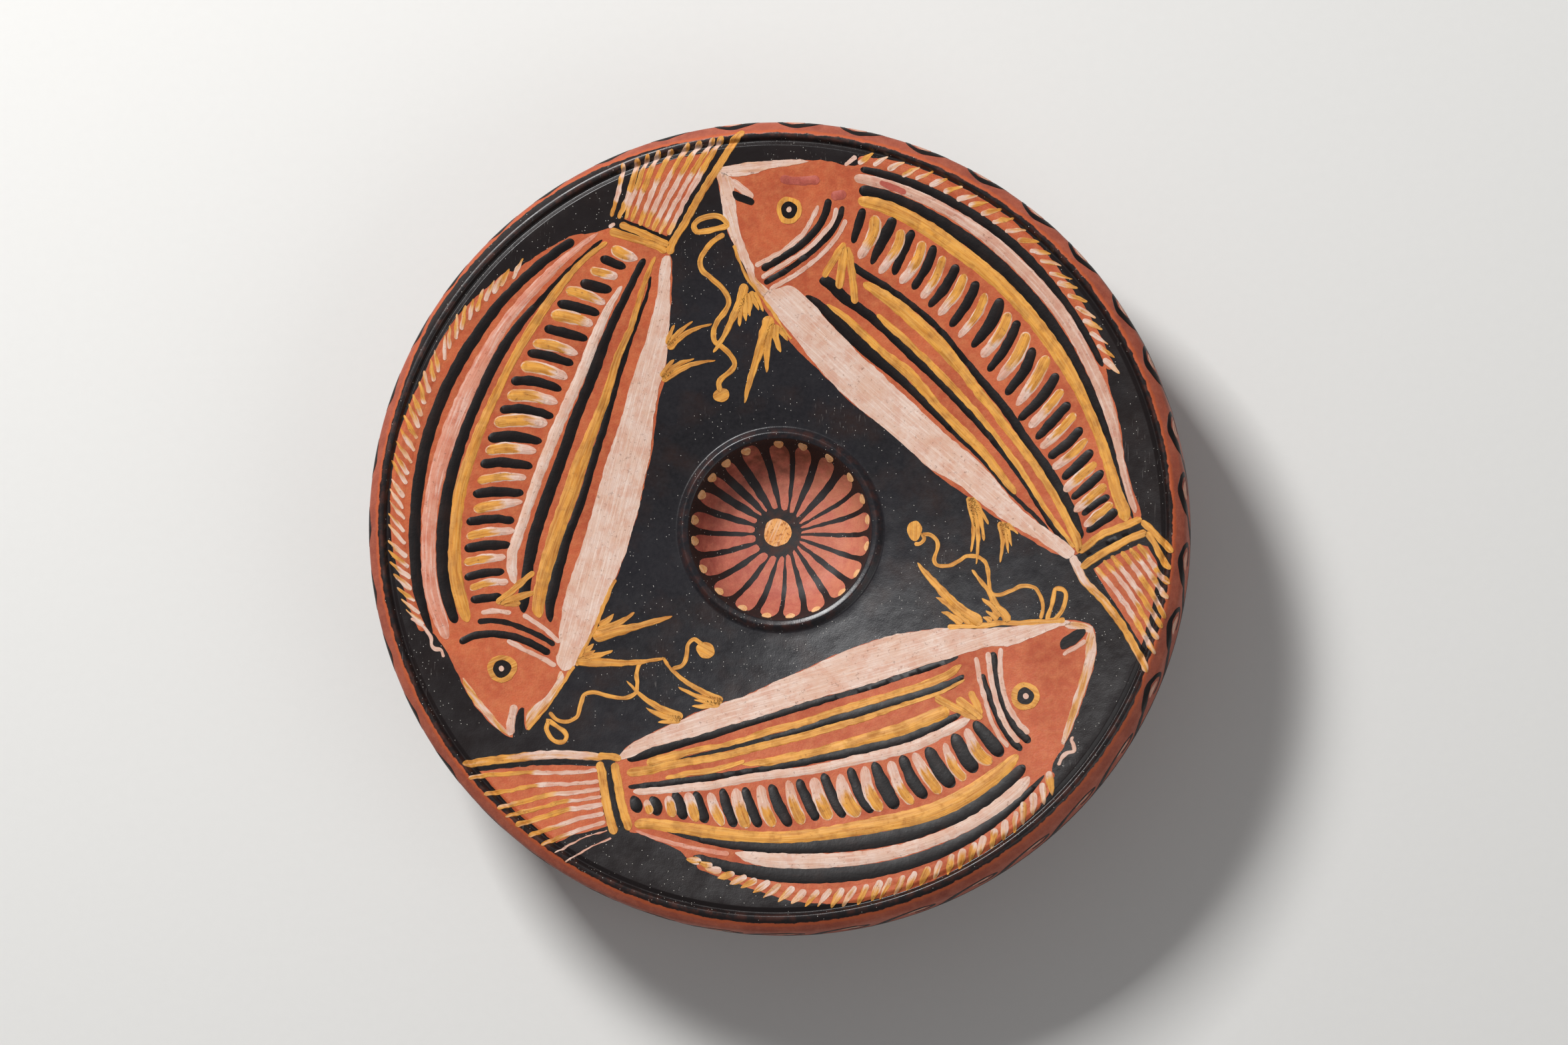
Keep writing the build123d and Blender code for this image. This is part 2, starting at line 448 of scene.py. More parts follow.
# Right-hand fish, head up
RIGHT_FISH = {
    "name": "right",
    "body": [
        (99.2, 111.3), (95, 112), (90, 112.6), (85, 113.1), (82, 113.6), (79.5, 113.2),
        (77.5, 113.5), (75, 116.8), (72, 118), (66, 118.6), (58, 118.7), (50, 118.4),
        (45, 117.8), (40, 116.4), (34, 114.2), (26, 112.2), (22, 110.4), (15, 109.3),
        (10, 108.3), (5, 109.1), (0, 111.2), (-1, 105), (-3, 98), (-6, 92.5), (-6.8, 88),
        (-5.5, 82), (-3, 75.5), (0, 69.3), (4, 63.5), (8, 59), (12, 55.3), (16, 52.3),
        (20, 50.1), (25, 48.2), (32, 46.4), (40, 45), (50, 44.3), (60, 44.8), (68, 47),
        (75, 50), (80, 52.8), (84, 55.5), (88, 59.5), (93, 66.5), (95.5, 74), (97, 81),
        (98.9, 90), (99.5, 97), (99.3, 106),
    ],
    "stripes": [
        ("black", [(76.3, 112.9, 1.6), (70, 113.3, 2.2), (60, 113.2, 2.5), (50, 112.9, 2.5),
                   (40, 112, 2.3), (30, 111.3, 1.8), (25, 111, 1.4)]),
        ("rose", [(77, 110, 3), (70, 110.6, 3.2), (60, 110.2, 3.3), (52, 109.7, 4),
                  (45, 109.1, 4.1), (35, 108.8, 4.2), (28, 108, 3.9), (20, 107.6, 4),
                  (15, 107.3, 3.2), (10, 107, 2.3), (5, 107.8, 2.2), (1, 109.6, 1.8)]),
        ("black", [(75.8, 106.7, 3.2), (70, 107.2, 3), (60, 106.2, 3.6), (52, 105.5, 3.9),
                   (45, 105, 3.6), (35, 104.6, 3.4), (25, 104.3, 2.6), (15, 104.7, 1.7),
                   (5, 106.3, 0.9), (0, 108.9, 0.6)]),
        ("ochre", [(75.6, 103.6, 3.4), (70, 103.9, 4.1), (62, 102.6, 4.7), (55, 101.5, 4.5),
                   (45, 101.2, 4.3), (35, 101, 4.3), (28, 101.2, 4.2), (20, 101.6, 3.1),
                   (12, 102.7, 3.2), (5, 104.2, 3.6), (1, 106.3, 4), (-0.3, 106.5, 3)]),
        ("black", [(74.5, 84.2, 1.8), (70, 82.3, 2), (60, 80.2, 1.6), (50, 78.5, 1.5),
                   (42, 77.2, 1.6), (35, 77, 2), (25, 78.8, 2.5), (18, 80.7, 2.4),
                   (10, 84.8, 3.2), (0, 91, 3), (-3.3, 93, 1.8)]),
        ("ochre", [(70.3, 79.8, 2.4), (63, 78, 3.8), (55, 76.1, 4.2), (47, 75, 4.1),
                   (40, 74.3, 3.4), (32, 74.4, 2.9), (20, 77.3, 2.7), (10, 82.3, 2.4),
                   (0, 88.9, 2.6), (-4, 91.9, 2.8), (-6, 92.4, 1.6)]),
        ("ochre", [(64.7, 72.4, 1.2), (60, 70.8, 2.1), (50, 69, 2), (40, 68.7, 2.2),
                   (30, 70.1, 1.9), (20, 73, 1.7), (15, 75, 2), (5, 80.5, 1.6), (0, 84.8, 1.5),
                   (-5, 91, 1.2)]),
        ("black", [(80.2, 77.3, 2.2), (78, 77.2, 3.4), (74, 74, 3), (65, 70.7, 2.6),
                   (57, 68, 2.1), (50, 66.8, 2.3), (42, 66.7, 1.9), (33, 67.6, 1.8),
                   (22, 70.6, 1.5), (10, 76.2, 1.2), (0, 83.4, 1.8), (-5.5, 90, 1)]),
        ("ochre", [(77.5, 70.6, 0.8), (73, 68.6, 2), (65, 64.9, 2.4), (58, 62.8, 2.5),
                   (50, 62.3, 3.3), (42, 61.6, 3), (35, 61.7, 2.6), (27, 63.6, 3),
                   (20, 66.5, 2.8), (12, 70.2, 2.4), (7, 73.5, 1.8)]),
        ("black", [(83, 72.2, 1), (80, 70.4, 2.2), (73, 65.6, 3.5), (65, 61.7, 3.6),
                   (57, 59.9, 3), (48, 59.1, 2.2), (38, 59.3, 2), (28, 61.2, 1.4),
                   (18, 65.6, 1.1), (8, 71.5, 1), (-2, 83, 1)]),
    ],
    "belly": [
        (93, 73), (90, 73.8), (87, 74.8), (83, 71.9), (80, 69.2), (75, 64.5), (70, 62),
        (65, 59.2), (57, 57.5), (50, 56.3), (42, 56.6), (35, 57.2), (28, 59), (20, 63),
        (12, 67.8), (5, 72.8), (0, 79.5), (-5.6, 91.2), (-7.2, 89.6), (-5.9, 85), (-3.5, 79),
        (0, 70.5), (4, 64.8), (8, 60.3), (12, 57.2), (15, 54.5), (20, 50.2), (27, 47.6),
        (35, 45.7), (45, 44.5), (55, 44.4), (65, 46.1), (72, 48.8), (80, 54), (85, 59),
        (88, 62.6), (93, 69.5),
    ],
    # dark bars as (turn, reach) at the top, in the middle and at the foot, then widths
    "dark_bars": [
        (74.3, 101.6, 74.5, 96, 74.7, 90.5, 2.0, 1.8), (68.6, 101.8, 69.2, 95, 69.9, 86, 2.6, 1.6),
        (64.8, 100.4, 64.9, 93, 64.8, 85.5, 2.2, 1.9), (60.1, 99.2, 59.5, 92, 59.8, 84.2, 2, 1.9),
        (54.7, 97.8, 54.3, 90, 54.9, 82.2, 2.2, 2), (50, 97.3, 48.9, 90, 48.6, 81.3, 2.2, 2),
        (44.7, 98.2, 42.9, 91, 42, 81.3, 2.8, 2), (39.6, 97.3, 37.5, 90, 35.7, 80.3, 2.2, 2),
        (34, 95.8, 31.5, 90, 29.2, 80.8, 2.4, 2.1), (27.6, 97.8, 25, 90, 23, 80.7, 2.3, 2),
        (21.9, 97.2, 19.9, 90, 17.8, 83.5, 2.1, 2), (16.9, 98, 14.9, 92, 13.3, 85.5, 2.2, 2),
        (12.5, 99.2, 10.6, 94, 8.5, 88.3, 2.2, 2), (8.6, 101.1, 6.6, 96, 4.4, 90.3, 2.1, 1.8),
        (4.2, 102, 2.8, 97, 1.2, 93.2, 1.6, 1.6), (1.6, 104.2, 0, 99, -2, 94.5, 2.4, 1.8),
    ],
    # light bars the same, then the reach past which each is yellow
    "light_bars": [
        (72, 100.6, 71.3, 95, 72.7, 86.5, 3, 2, 93), (66.6, 99.3, 66.2, 93, 67.7, 84.2, 2.6, 1.8, 92),
        (62.3, 98.7, 61.6, 92, 62.8, 84, 2.8, 2.2, 91.5),
        (57.7, 97.8, 56.8, 90, 57.2, 83.2, 2.2, 2.1, 89),
        (52.6, 96.8, 51.8, 90, 52.1, 81.8, 2.6, 1.6, 88),
        (47.4, 96.2, 46, 90, 45.6, 80.6, 2.2, 1.8, 87), (41.8, 97, 39.9, 90, 39, 81.5, 2.8, 2.4, 89),
        (36.9, 97.2, 34.4, 90, 32.8, 81, 3, 1.8, 88.5), (31.3, 98, 28.4, 90, 26, 82, 3, 1.6, 90),
        (24.6, 97, 22.6, 90, 20.6, 82.8, 2.4, 2.1, 90), (19.7, 97.6, 17.6, 91, 15.7, 84, 2.2, 2, 91),
        (14.7, 98.5, 12.5, 92, 10.9, 86, 2.2, 2, 93), (10.2, 99.5, 8.4, 94, 6.1, 88.2, 2.4, 2.1, 94),
        (6.2, 101.3, 4.2, 96, 1.9, 90.8, 2.4, 2, 96), (2.9, 102.8, 1, 98, -1, 93.8, 2.2, 1.8, 97),
    ],
    # fin: how many hairs from which turn to which, then lines of their roots and tips
    "hairs": 23,
    "hair_width": 1.7,
    "black_extra": 0.5,
    "bar_share": 1.0,
    "head_tint": 0.15,
    "hair_turns": (76.6, 26),
    "hair_roots": [(24, 112), (28, 112.5), (35, 113.5), (45, 114.8), (77, 114.8)],
    "hair_tips": [(23, 114.8), (28, 115.8), (36, 117.3), (43, 118.3), (50, 119), (77, 118.8)],
    "hair_lean": (1.8, 3.4),
    "tail_field": [
        (-4.2, 113.5), (-6, 116), (-7.4, 117.3), (-13.5, 117.3), (-19, 117.3), (-17, 112.5),
        (-14.5, 107.5), (-12, 102.8), (-8.6, 97.6), (-7.5, 99.5), (-5.5, 105), (-4, 111),
    ],
    "tail_strokes": [
        ("ochre", 1.8, [(-0.2, 111.5), (-1.5, 114), (-3, 117), (-4.9, 121.2)]),
        ("ochre", 2.0, [(0.1, 111.5), (-0.6, 108), (-2.2, 100), (-3.4, 97), (-5.8, 92.5)]),
        ("black", 1.4, [(-1.8, 112), (-2.2, 107), (-3.5, 102), (-5.5, 96), (-7.5, 92)]),
        ("ochre", 2.1, [(-2, 113), (-3, 108), (-4.6, 103), (-6, 99), (-8.6, 93.6)]),
        ("ochre", 1.7, [(-2, 112.8), (-3, 114.5), (-5, 117), (-6.5, 119), (-7.3, 121)]),
        ("white", 2.2, [(-6.5, 90.5, 2.4, 0.1), (-8.5, 92.5, 2.6, 0.2), (-11, 95.5, 2.4, 0.4),
                        (-13.5, 102, 2.4, 0.8), (-16.5, 109, 2.3, 0.9), (-19, 114.5, 2.3, 0.9),
                        (-21, 119, 2.2, 0.8), (-22.3, 121.8, 2, 0.6)]),
        ("black", 1.2, [(-9.2, 95.6), (-12.4, 101.5), (-15.2, 108), (-17.9, 114), (-20.3, 120)]),
    ],
    "tail_rays": [
        [(-3.9, 110.4), (-6, 114), (-8.3, 118), (-9.3, 121)],
        [(-4.6, 108), (-7.5, 113.5), (-10, 118), (-11.5, 121.2)],
        [(-5.2, 105.5), (-8.5, 111.5), (-12, 118), (-14.3, 121.8)],
        [(-6, 102.5), (-10, 110), (-14, 118), (-15.7, 121.5)],
        [(-6.9, 100.3), (-11.5, 109.5), (-16, 118), (-17.4, 121.3)],
        [(-8.3, 98.2), (-13, 108), (-17.8, 118), (-19.5, 121.8)],
    ],
    "ray_gold": 110,
    "ray_width": 1.8,
    "ray_roots": True,
    "head_whites": [
        [(99.3, 111.4), (90, 112.7), (85, 113.1), (84.6, 112.6), (90, 110.4), (96.5, 108.4)],
        [(99.3, 110.6), (99.3, 106), (99.6, 98), (98.9, 90), (97, 81), (95.4, 76), (95, 80.5),
         (95.8, 84), (96.5, 88), (97.1, 94), (97, 103), (97, 108)],
    ],
    "mouth": [(97.2, 104.4), (95.6, 103), (93.7, 100.8), (94.1, 99.6), (95.6, 100.4), (97.1, 101.9)],
    "head_strokes": [
        ("white", 2.2, [(97.2, 107.5), (95.6, 104.6), (93.9, 101.5)]),
        ("white", 2.0, [(96.4, 81, 1.4, 0.2), (95.3, 76.5, 2.2, 0.6), (93.4, 73.4, 2.6, 0.4),
                        (91.5, 70.8, 2, 0.1)]),
        ("blush", 2.4, [(89.1, 107.2), (86.5, 106.6), (82.5, 107.5)]),
        ("blush", 2.6, [(80.2, 102.8), (77.8, 104.9)]),
        ("blush", 1.9, [(72.8, 110.6), (70.5, 110.2), (68.2, 110)]),
        ("ochre", 0.8, [(98.6, 88), (97.9, 83), (96.6, 77), (95, 73.5), (92, 68), (89, 62.5),
                        (86, 58.5)]),
        ("white", 1.4, [(82.3, 99.8), (83, 96.5), (84.5, 91), (87.5, 86.5), (91, 83.3),
                        (94.7, 81)]),
        ("black", 2.2, [(80.6, 102.3), (80.8, 98), (82, 93), (84.5, 88), (88, 84), (93.3, 79.7)]),
        ("white", 1.3, [(79, 100), (79.2, 96), (80.8, 91.5), (83, 87), (87, 82.5), (93.5, 77.2)]),
        ("black", 1.7, [(77.9, 100.8), (78.2, 97), (79.2, 92.5), (81.5, 87.5), (84.5, 83),
                        (88.5, 78.8), (93, 75.5)]),
        ("white", 1.3, [(76.9, 97), (77.8, 92), (79.6, 87), (82.5, 82), (86, 78), (91.8, 73.4)]),
        ("ochre", 2.0, [(76.2, 90), (77.3, 86), (79.3, 78.5)]),
        ("ochre", 2.4, [(76, 89), (75.8, 83), (75.3, 76)]),
        ("ochre", 2.1, [(75.6, 89), (74, 84), (72.5, 79), (70.7, 73)]),
        ("white", 1.0, [(78.8, 113), (77.3, 116.4)]),
    ],
    "eye": ((87.5, 97.7), 8.4, 5.3),
    "fins": [
        (3.0, 1.4, [(97.5, 76), (99.5, 70.5), (102, 66.5), (105, 62.5), (107.5, 60), (110.3, 58)]),
        (2.4, 1.2, [(98.2, 73), (100, 67.5), (100.8, 63.5)]),
        (2.4, 1.2, [(97.6, 73), (98.4, 68.5), (98.8, 64.7)]),
        (2.4, 1.2, [(97, 73), (97.2, 69), (97.5, 66)]),
        (2.4, 1.2, [(96.4, 73.5), (95.6, 70), (95, 67.5)]),
        (2.0, 1.0, [(95.8, 73), (94.6, 70), (93.8, 67)]),
        (4.0, 1.4, [(92, 65.5), (94, 60), (96, 55.5), (99, 50), (103, 44), (105.5, 40.5)]),
        (3.4, 1.3, [(92, 64), (93.4, 58), (94, 53), (94.5, 48.5)]),
        (3.2, 1.3, [(90.6, 63), (90.6, 58.5), (89.3, 54.5)]),
        (2.4, 1.2, [(89.6, 62), (88.4, 60), (87, 58)]),
        (2.2, 1.0, [(0, 69.5), (-1.2, 71.6), (-2.5, 73.5)]),
        (2.4, 1.0, [(0.2, 69), (-2.5, 70.6), (-5.5, 71.7)]),
        (2.4, 1.0, [(0.6, 68.4), (-3.4, 69.8), (-7.3, 70.9)]),
        (2.2, 1.0, [(0.6, 67.8), (-4.5, 68.8), (-9.8, 68.7)]),
        (2.2, 1.0, [(8, 59.8), (4, 62), (0, 64.3)]),
        (2.4, 1.0, [(8, 59.6), (2, 61.7), (-4.5, 63)]),
        (2.4, 1.0, [(8, 59.2), (-1.5, 60.9), (-11.2, 61.5)]),
        (2.2, 1.0, [(8.4, 58.8), (0, 59.7), (-8, 59.3)]),
    ],
}

# Left-hand fish, head down
LEFT_FISH = {
    "name": "left",
    "body": [
        (218.3, 103.3), (216.5, 105.2), (213, 106.5), (209, 107.4), (203, 107.5), (198, 108.8),
        (195, 112.3), (193.5, 114), (187, 115.8), (184, 117), (178, 117.8), (170, 118.6),
        (165, 118.7), (158, 117.6), (150, 117.3), (145, 116.7), (140, 114.8), (135, 112.2),
        (128, 110.2), (124.5, 109.1), (122, 106.6), (118.3, 104.5), (115.5, 99.5), (113.2, 95),
        (111.3, 90), (113, 82.5), (115, 77), (117.5, 72), (120, 67.3), (124, 61.5), (128, 57),
        (131, 55.3), (135, 52.6), (140, 49.5), (145, 47), (150, 45.4), (157, 44.3), (165, 43.6),
        (173, 43.8), (180, 45.2), (185, 46.5), (190, 48.5), (195, 51.4), (200, 55.7), (204, 59.4),
        (207, 63.3), (210, 67.9), (212.5, 73), (214, 76), (216.3, 84), (217.6, 89), (218.9, 98.8),
        (217.8, 98.3), (216.3, 96.5), (215.2, 95.2), (214.9, 96.2), (216, 99.5), (217.3, 102),
    ],
    "stripes": [
        ("black", [(197, 110.2, 0.8), (194, 110.6, 1.8), (190, 111, 2.9), (183, 110.6, 3.1),
                   (175, 110.2, 3.1), (165, 110, 3.3), (157, 109.6, 3.1), (148, 109.1, 2.9),
                   (140, 108.9, 2.4), (132, 108.4, 2.3), (125, 107.8, 2.4)]),
        ("rose", [(198.4, 106.4, 2.6), (195, 106.6, 4.4), (190, 107.2, 4.7), (182, 106.5, 4.4),
                  (173, 105.3, 4.5), (165, 104.2, 5), (157, 103.4, 4.9), (150, 103.5, 4.4),
                  (143, 104, 3.4), (133, 104.4, 3), (125, 105.3, 1.7), (121, 105.7, 1)]),
        ("black", [(196.2, 102.4, 2.4), (190, 103, 3.3), (182, 102.2, 3.6), (175, 101.3, 3.3),
                   (165, 100, 2.8), (157, 99.5, 2.5), (150, 99.9, 2.7), (143, 100.4, 2.4),
                   (135, 100.6, 1.3), (125, 102.3, 0.9), (121, 103.3, 0.8)]),
        ("ochre", [(196.6, 98.8, 2.8), (193, 99.1, 3.9), (187, 99.2, 4.1), (180, 98.2, 3.6),
                   (173, 97.5, 3.7), (165, 96, 3.2), (155, 95.2, 2.6), (147, 95.8, 2.4),
                   (140, 97, 2.8), (133, 99, 2.6), (125, 101.4, 1.6), (120.5, 101.9, 1.6)]),
        ("white", [(191.5, 82.2, 1.6), (188, 82.3, 3.2), (185, 81.5, 3.2), (178, 78, 2.9),
                   (170, 75.5, 3), (162, 74.4, 3.2), (155, 74.3, 3.4), (147, 75.2, 3.2),
                   (140, 77.3, 3.4), (135, 80, 3.2), (130, 83.4, 2.8), (122.5, 88.3, 1.4)]),
        ("black", [(198, 82, 1.6), (195, 80.6, 3), (190, 78.1, 2.8), (182, 74.8, 3.3),
                   (175, 72.2, 3.3), (167, 70.3, 3.2), (160, 69.7, 3), (152, 70.6, 2.9),
                   (145, 72.1, 2.7), (138, 74.8, 3), (130, 79.9, 2.2), (123, 85.2, 1.9),
                   (116, 92.2, 1.6)]),
        ("ochre", [(200.2, 78, 2.6), (198, 77.4, 3.6), (192, 73.8, 4.1), (185, 69.9, 4.6),
                   (178, 67, 4.7), (170, 64.6, 4.8), (162, 64, 4.7), (155, 64.1, 3.7),
                   (147, 65.3, 3), (140, 67.7, 2.7), (132, 72.6, 2.3), (125, 77.4, 1.8),
                   (114, 91.4, 1.4)]),
        ("black", [(202, 75.4, 1.4), (198, 73.6, 2.6), (193, 70.3, 2.9), (185, 66, 2.5),
                   (177, 62.7, 2.1), (170, 60.8, 2.1), (160, 60.5, 1.8), (150, 61.9, 1.8),
                   (140, 65.6, 1.3), (130, 71.9, 1.2), (120, 81, 0.8), (116.5, 86.6, 0.8)]),
    ],
    "belly": [
        (213, 79.4), (210, 78.9), (208.5, 76.3), (205, 74.3), (202, 72), (198, 69.2),
        (192, 64.8), (185, 60.8), (178, 58.3), (170, 56.8), (160, 56.7), (150, 57.7),
        (143, 59.7), (135, 63.8), (130, 67), (125, 70.8), (120, 76.5), (117, 81.2),
        (112.8, 90.3), (111.3, 90), (112, 87), (115, 78), (118, 71), (120, 67.5), (124, 61.8),
        (130, 57), (135, 53.6), (140, 50.5), (145, 47.8), (150, 45.6), (157, 44.5), (165, 43.7),
        (173, 43.9), (180, 45.3), (187, 47.2), (192, 49.6), (197, 53.2), (204, 59.5),
        (207, 63.5), (210, 68), (212.5, 73.2), (214, 76),
    ],
    "dark_bars": [
        (192.8, 96.3, 193.2, 91, 193.5, 86.7, 1.9, 1.8), (188.7, 96.8, 188.3, 91, 188.5, 84.6, 1.9, 1.8),
        (183.4, 95.8, 183, 90, 183, 81.8, 2.2, 2), (178.5, 95, 177.7, 88, 177.8, 80.6, 2, 1.9),
        (173.2, 93.6, 172.2, 87, 171.6, 78.5, 2.2, 2), (167.5, 92.8, 166, 86, 165.4, 77.4, 2.2, 2),
        (162.4, 92.6, 160.5, 86, 159.3, 77, 2.4, 2.1), (156.6, 92.2, 154.5, 86, 153.1, 76.8, 2, 2),
        (150.8, 93, 148.5, 87, 147, 78.7, 2.2, 2), (144.6, 93.5, 142.6, 87, 140.9, 80.4, 2.2, 2),
        (139.1, 94, 137, 88, 134.9, 82.2, 2.2, 2), (134.1, 96.4, 131.8, 91, 129.5, 85.5, 2.2, 2),
        (128.5, 96.5, 126.5, 92, 124.6, 89, 2.4, 2), (123, 99, 121.5, 95.5, 120, 92.5, 2, 1.8),
    ],
    "light_bars": [
        (190.9, 95.8, 190.2, 90, 190.8, 84, 1.8, 1.7, 91),
        (186, 96.3, 185.5, 90, 185.6, 83.6, 2.2, 1.7, 90.5),
        (181.2, 95, 180.3, 88, 180, 80.5, 2.4, 1.8, 88.3),
        (176.1, 93, 174.8, 86, 173.5, 78.5, 2.6, 1.4, 86.8),
        (170.7, 92.7, 169, 86, 168.1, 78.5, 2.2, 1.6, 84.2),
        (164.8, 92.3, 163, 86, 161.8, 77.6, 2.8, 2, 85.3),
        (159.3, 92.4, 157, 86, 155.1, 77.5, 3.2, 2.6, 82.5),
        (153.6, 92, 151.5, 86, 149.9, 77.6, 3, 2, 84),
        (147.4, 92.9, 145.5, 87, 144.1, 79.2, 3, 2.2, 86),
        (142.6, 93.9, 140.4, 88, 138.6, 81.3, 2.8, 1.8, 86.5),
        (136.4, 95.4, 134, 90, 132, 84.3, 3, 2, 88.5),
        (131.3, 97.7, 129, 92, 127.3, 86.8, 2.6, 1.8, 91),
        (125.7, 97.7, 123.8, 94, 122.2, 91.4, 2.4, 2.2, 86),
        (120.4, 99.8, 119, 96, 117.2, 93, 3, 1.6, 96.8),
    ],
    "hairs": 33,
    "hair_width": 1.5,
    "black_extra": 0.6,
    "bar_share": 1.0,
    "head_tint": 0.5,
    "hair_turns": (195, 136.5),
    "hair_roots": [
        (135.8, 110.5), (137, 112), (145, 113.5), (150, 113.8), (160, 113.8), (168, 113.2),
        (175, 114), (180, 113.8), (185, 113.2), (190, 113), (196, 111.5),
    ],
    "hair_tips": [
        (134.2, 112.9), (139.3, 115), (145, 117), (150, 117.3), (160, 118), (165, 118.9),
        (170, 118.8), (175, 118), (184.3, 118.8), (188.5, 117), (192.5, 115.8), (196, 114.5),
    ],
    "hair_lean": (2.8, 3.2),
    "tail_field": [
        (116.3, 105.3), (113.5, 111), (110.6, 117.2), (104.5, 117.3), (98.8, 117.2), (101.5, 111),
        (105, 104.5), (108.5, 98.5), (110.4, 95.7), (113.5, 100.3),
    ],
    "tail_strokes": [
        ("ochre", 2.2, [(119.2, 104.5), (117, 100.5), (114.5, 96.5), (112.5, 93.3), (111.8, 91.3)]),
        ("black", 1.2, [(118.2, 104.9), (116, 100.6), (113.5, 96.3), (111.6, 92.8)]),
        ("ochre", 2.0, [(117.2, 104.8), (115, 100.5), (112.5, 96), (110.8, 93)]),
        ("black", 1.2, [(116.5, 105.6), (114, 100.8), (111.6, 96.6), (109.9, 94.2)]),
        ("white", 1.2, [(119, 105.4), (117.8, 105.8)]),
        ("ochre", 2.0, [(111.5, 90.5), (109.5, 94), (106.5, 98), (104, 102.5), (101, 108),
                        (98.5, 113), (96.8, 117), (95.2, 120.8), (94.3, 122)]),
    ],
    "tail_rays": [
        [(117.8, 108), (115.5, 112.5), (113, 119), (112.6, 120.8)],
        [(116.9, 106.5), (114, 111), (111.5, 117), (110.3, 120.6)],
        [(115.9, 105.5), (112.5, 112), (110, 117.5), (108.7, 120.7)],
        [(115.2, 104), (111.4, 111), (108.7, 117), (107, 120.7)],
        [(114.2, 101.8), (110.2, 109.5), (107, 116.5), (105.2, 120)],
        [(113.3, 100.6), (108.6, 108.8), (104.9, 116), (102.6, 120.7)],
        [(112.5, 98.8), (107.3, 107.5), (103.4, 115), (100.8, 120.5)],
        [(111.6, 97.2), (106.1, 106), (101.7, 114.5), (98.8, 120.7)],
        [(110.2, 96), (105, 104.8), (100.5, 114), (97.5, 120.8)],
    ],
    "ray_gold": 111.5,
    "ray_width": 1.7,
    "ray_roots": True,
    "head_whites": [
        [(218, 103.7), (216, 105.2), (213, 106.3), (209, 107.2), (205.3, 106.6), (207, 105.6),
         (211, 104.9), (214, 104.1)],
        [(218.7, 98.4), (218.1, 94), (217.4, 89), (216.1, 84), (214.9, 80), (213, 79.8),
         (214.3, 82.4), (215.5, 86), (215.9, 90), (216.2, 95)],
    ],
    "mouth": [(218.8, 101.4), (217.2, 100), (215.5, 97.3), (214.9, 95.4), (216, 96.4), (217.6, 98.6)],
    "head_strokes": [
        ("white", 2.2, [(217.8, 103.6), (216, 101), (214.5, 98.3), (213.8, 97)]),
        ("ochre", 0.8, [(218.9, 98.5), (218.4, 94), (217.7, 89), (216.4, 84), (215.1, 79.5),
                        (213.8, 75.5)]),
        ("ochre", 1.1, [(214, 75), (211, 69), (208, 64), (204, 59.5), (200, 55.5), (196.5, 52.5)]),
        ("white", 1.4, [(202.2, 89.6), (205, 86.5), (208, 83), (211.5, 80)]),
        ("black", 2.2, [(199.6, 103.2), (199.3, 98), (200.3, 92), (202.5, 86.5), (205.5, 82.5),
                        (208.5, 79.8)]),
        ("black", 1.6, [(197, 96), (197.8, 91), (199.5, 86.5), (202, 82.5), (205, 79),
                        (207.3, 77.3)]),
        ("white", 1.4, [(195.6, 94.2), (196, 90), (197.2, 85.5)]),
        ("white", 1.3, [(198.3, 82.3), (201, 79.5), (204, 77.2), (207.3, 75.5)]),
        ("ochre", 1.6, [(195.2, 87), (195.8, 82)]),
        ("ochre", 1.8, [(194.8, 88), (194.5, 82), (194.2, 77.2)]),
        ("ochre", 1.8, [(194.6, 89), (193, 84), (191, 79), (189.6, 75.8)]),
        ("white", 0.9, [(201, 109.2), (199.8, 109.2), (199.3, 110.8), (198.5, 111.5), (197.5, 110.8),
                        (196.5, 111.2), (195, 112.5), (193.6, 115)]),
    ],
    "eye": ((206.8, 94.7), 9.0, 5.6),
    "fins": [
        (3.2, 1.4, [(213, 74), (215, 71), (218, 66.5), (220, 64), (223, 60), (226, 56),
                    (228.5, 53)]),
        (2.6, 1.2, [(213.6, 71.5), (215, 67), (216, 63.2)]),
        (2.4, 1.2, [(212.6, 71.5), (213.2, 69.5), (213.3, 67.5)]),
        (2.2, 1.2, [(212, 70.5), (212, 68.5), (211.6, 66.8)]),
        (4.0, 1.4, [(210, 66), (211.5, 60), (213.5, 54.5), (216, 48), (218.5, 42.5)]),
        (3.0, 1.2, [(209, 64), (210, 59), (210, 55), (209.5, 51.3)]),
        (2.8, 1.2, [(208, 62.5), (207.8, 59.5), (206.8, 57)]),
        (2.2, 1.0, [(121, 66.2), (119, 68.3), (116.8, 70.3)]),
        (2.4, 1.0, [(121, 65.8), (117, 67.6), (112.3, 69)]),
        (2.4, 1.0, [(121.4, 65), (115, 66.5), (107.8, 66.3)]),
        (2.4, 1.0, [(127.5, 59), (124.5, 60.3), (121.5, 61.2)]),
        (2.4, 1.0, [(127.5, 58.6), (122, 59.3), (116.3, 58.5)]),
        (2.4, 1.0, [(128, 58), (119.5, 57.5), (110.5, 55.6)]),
    ],
}

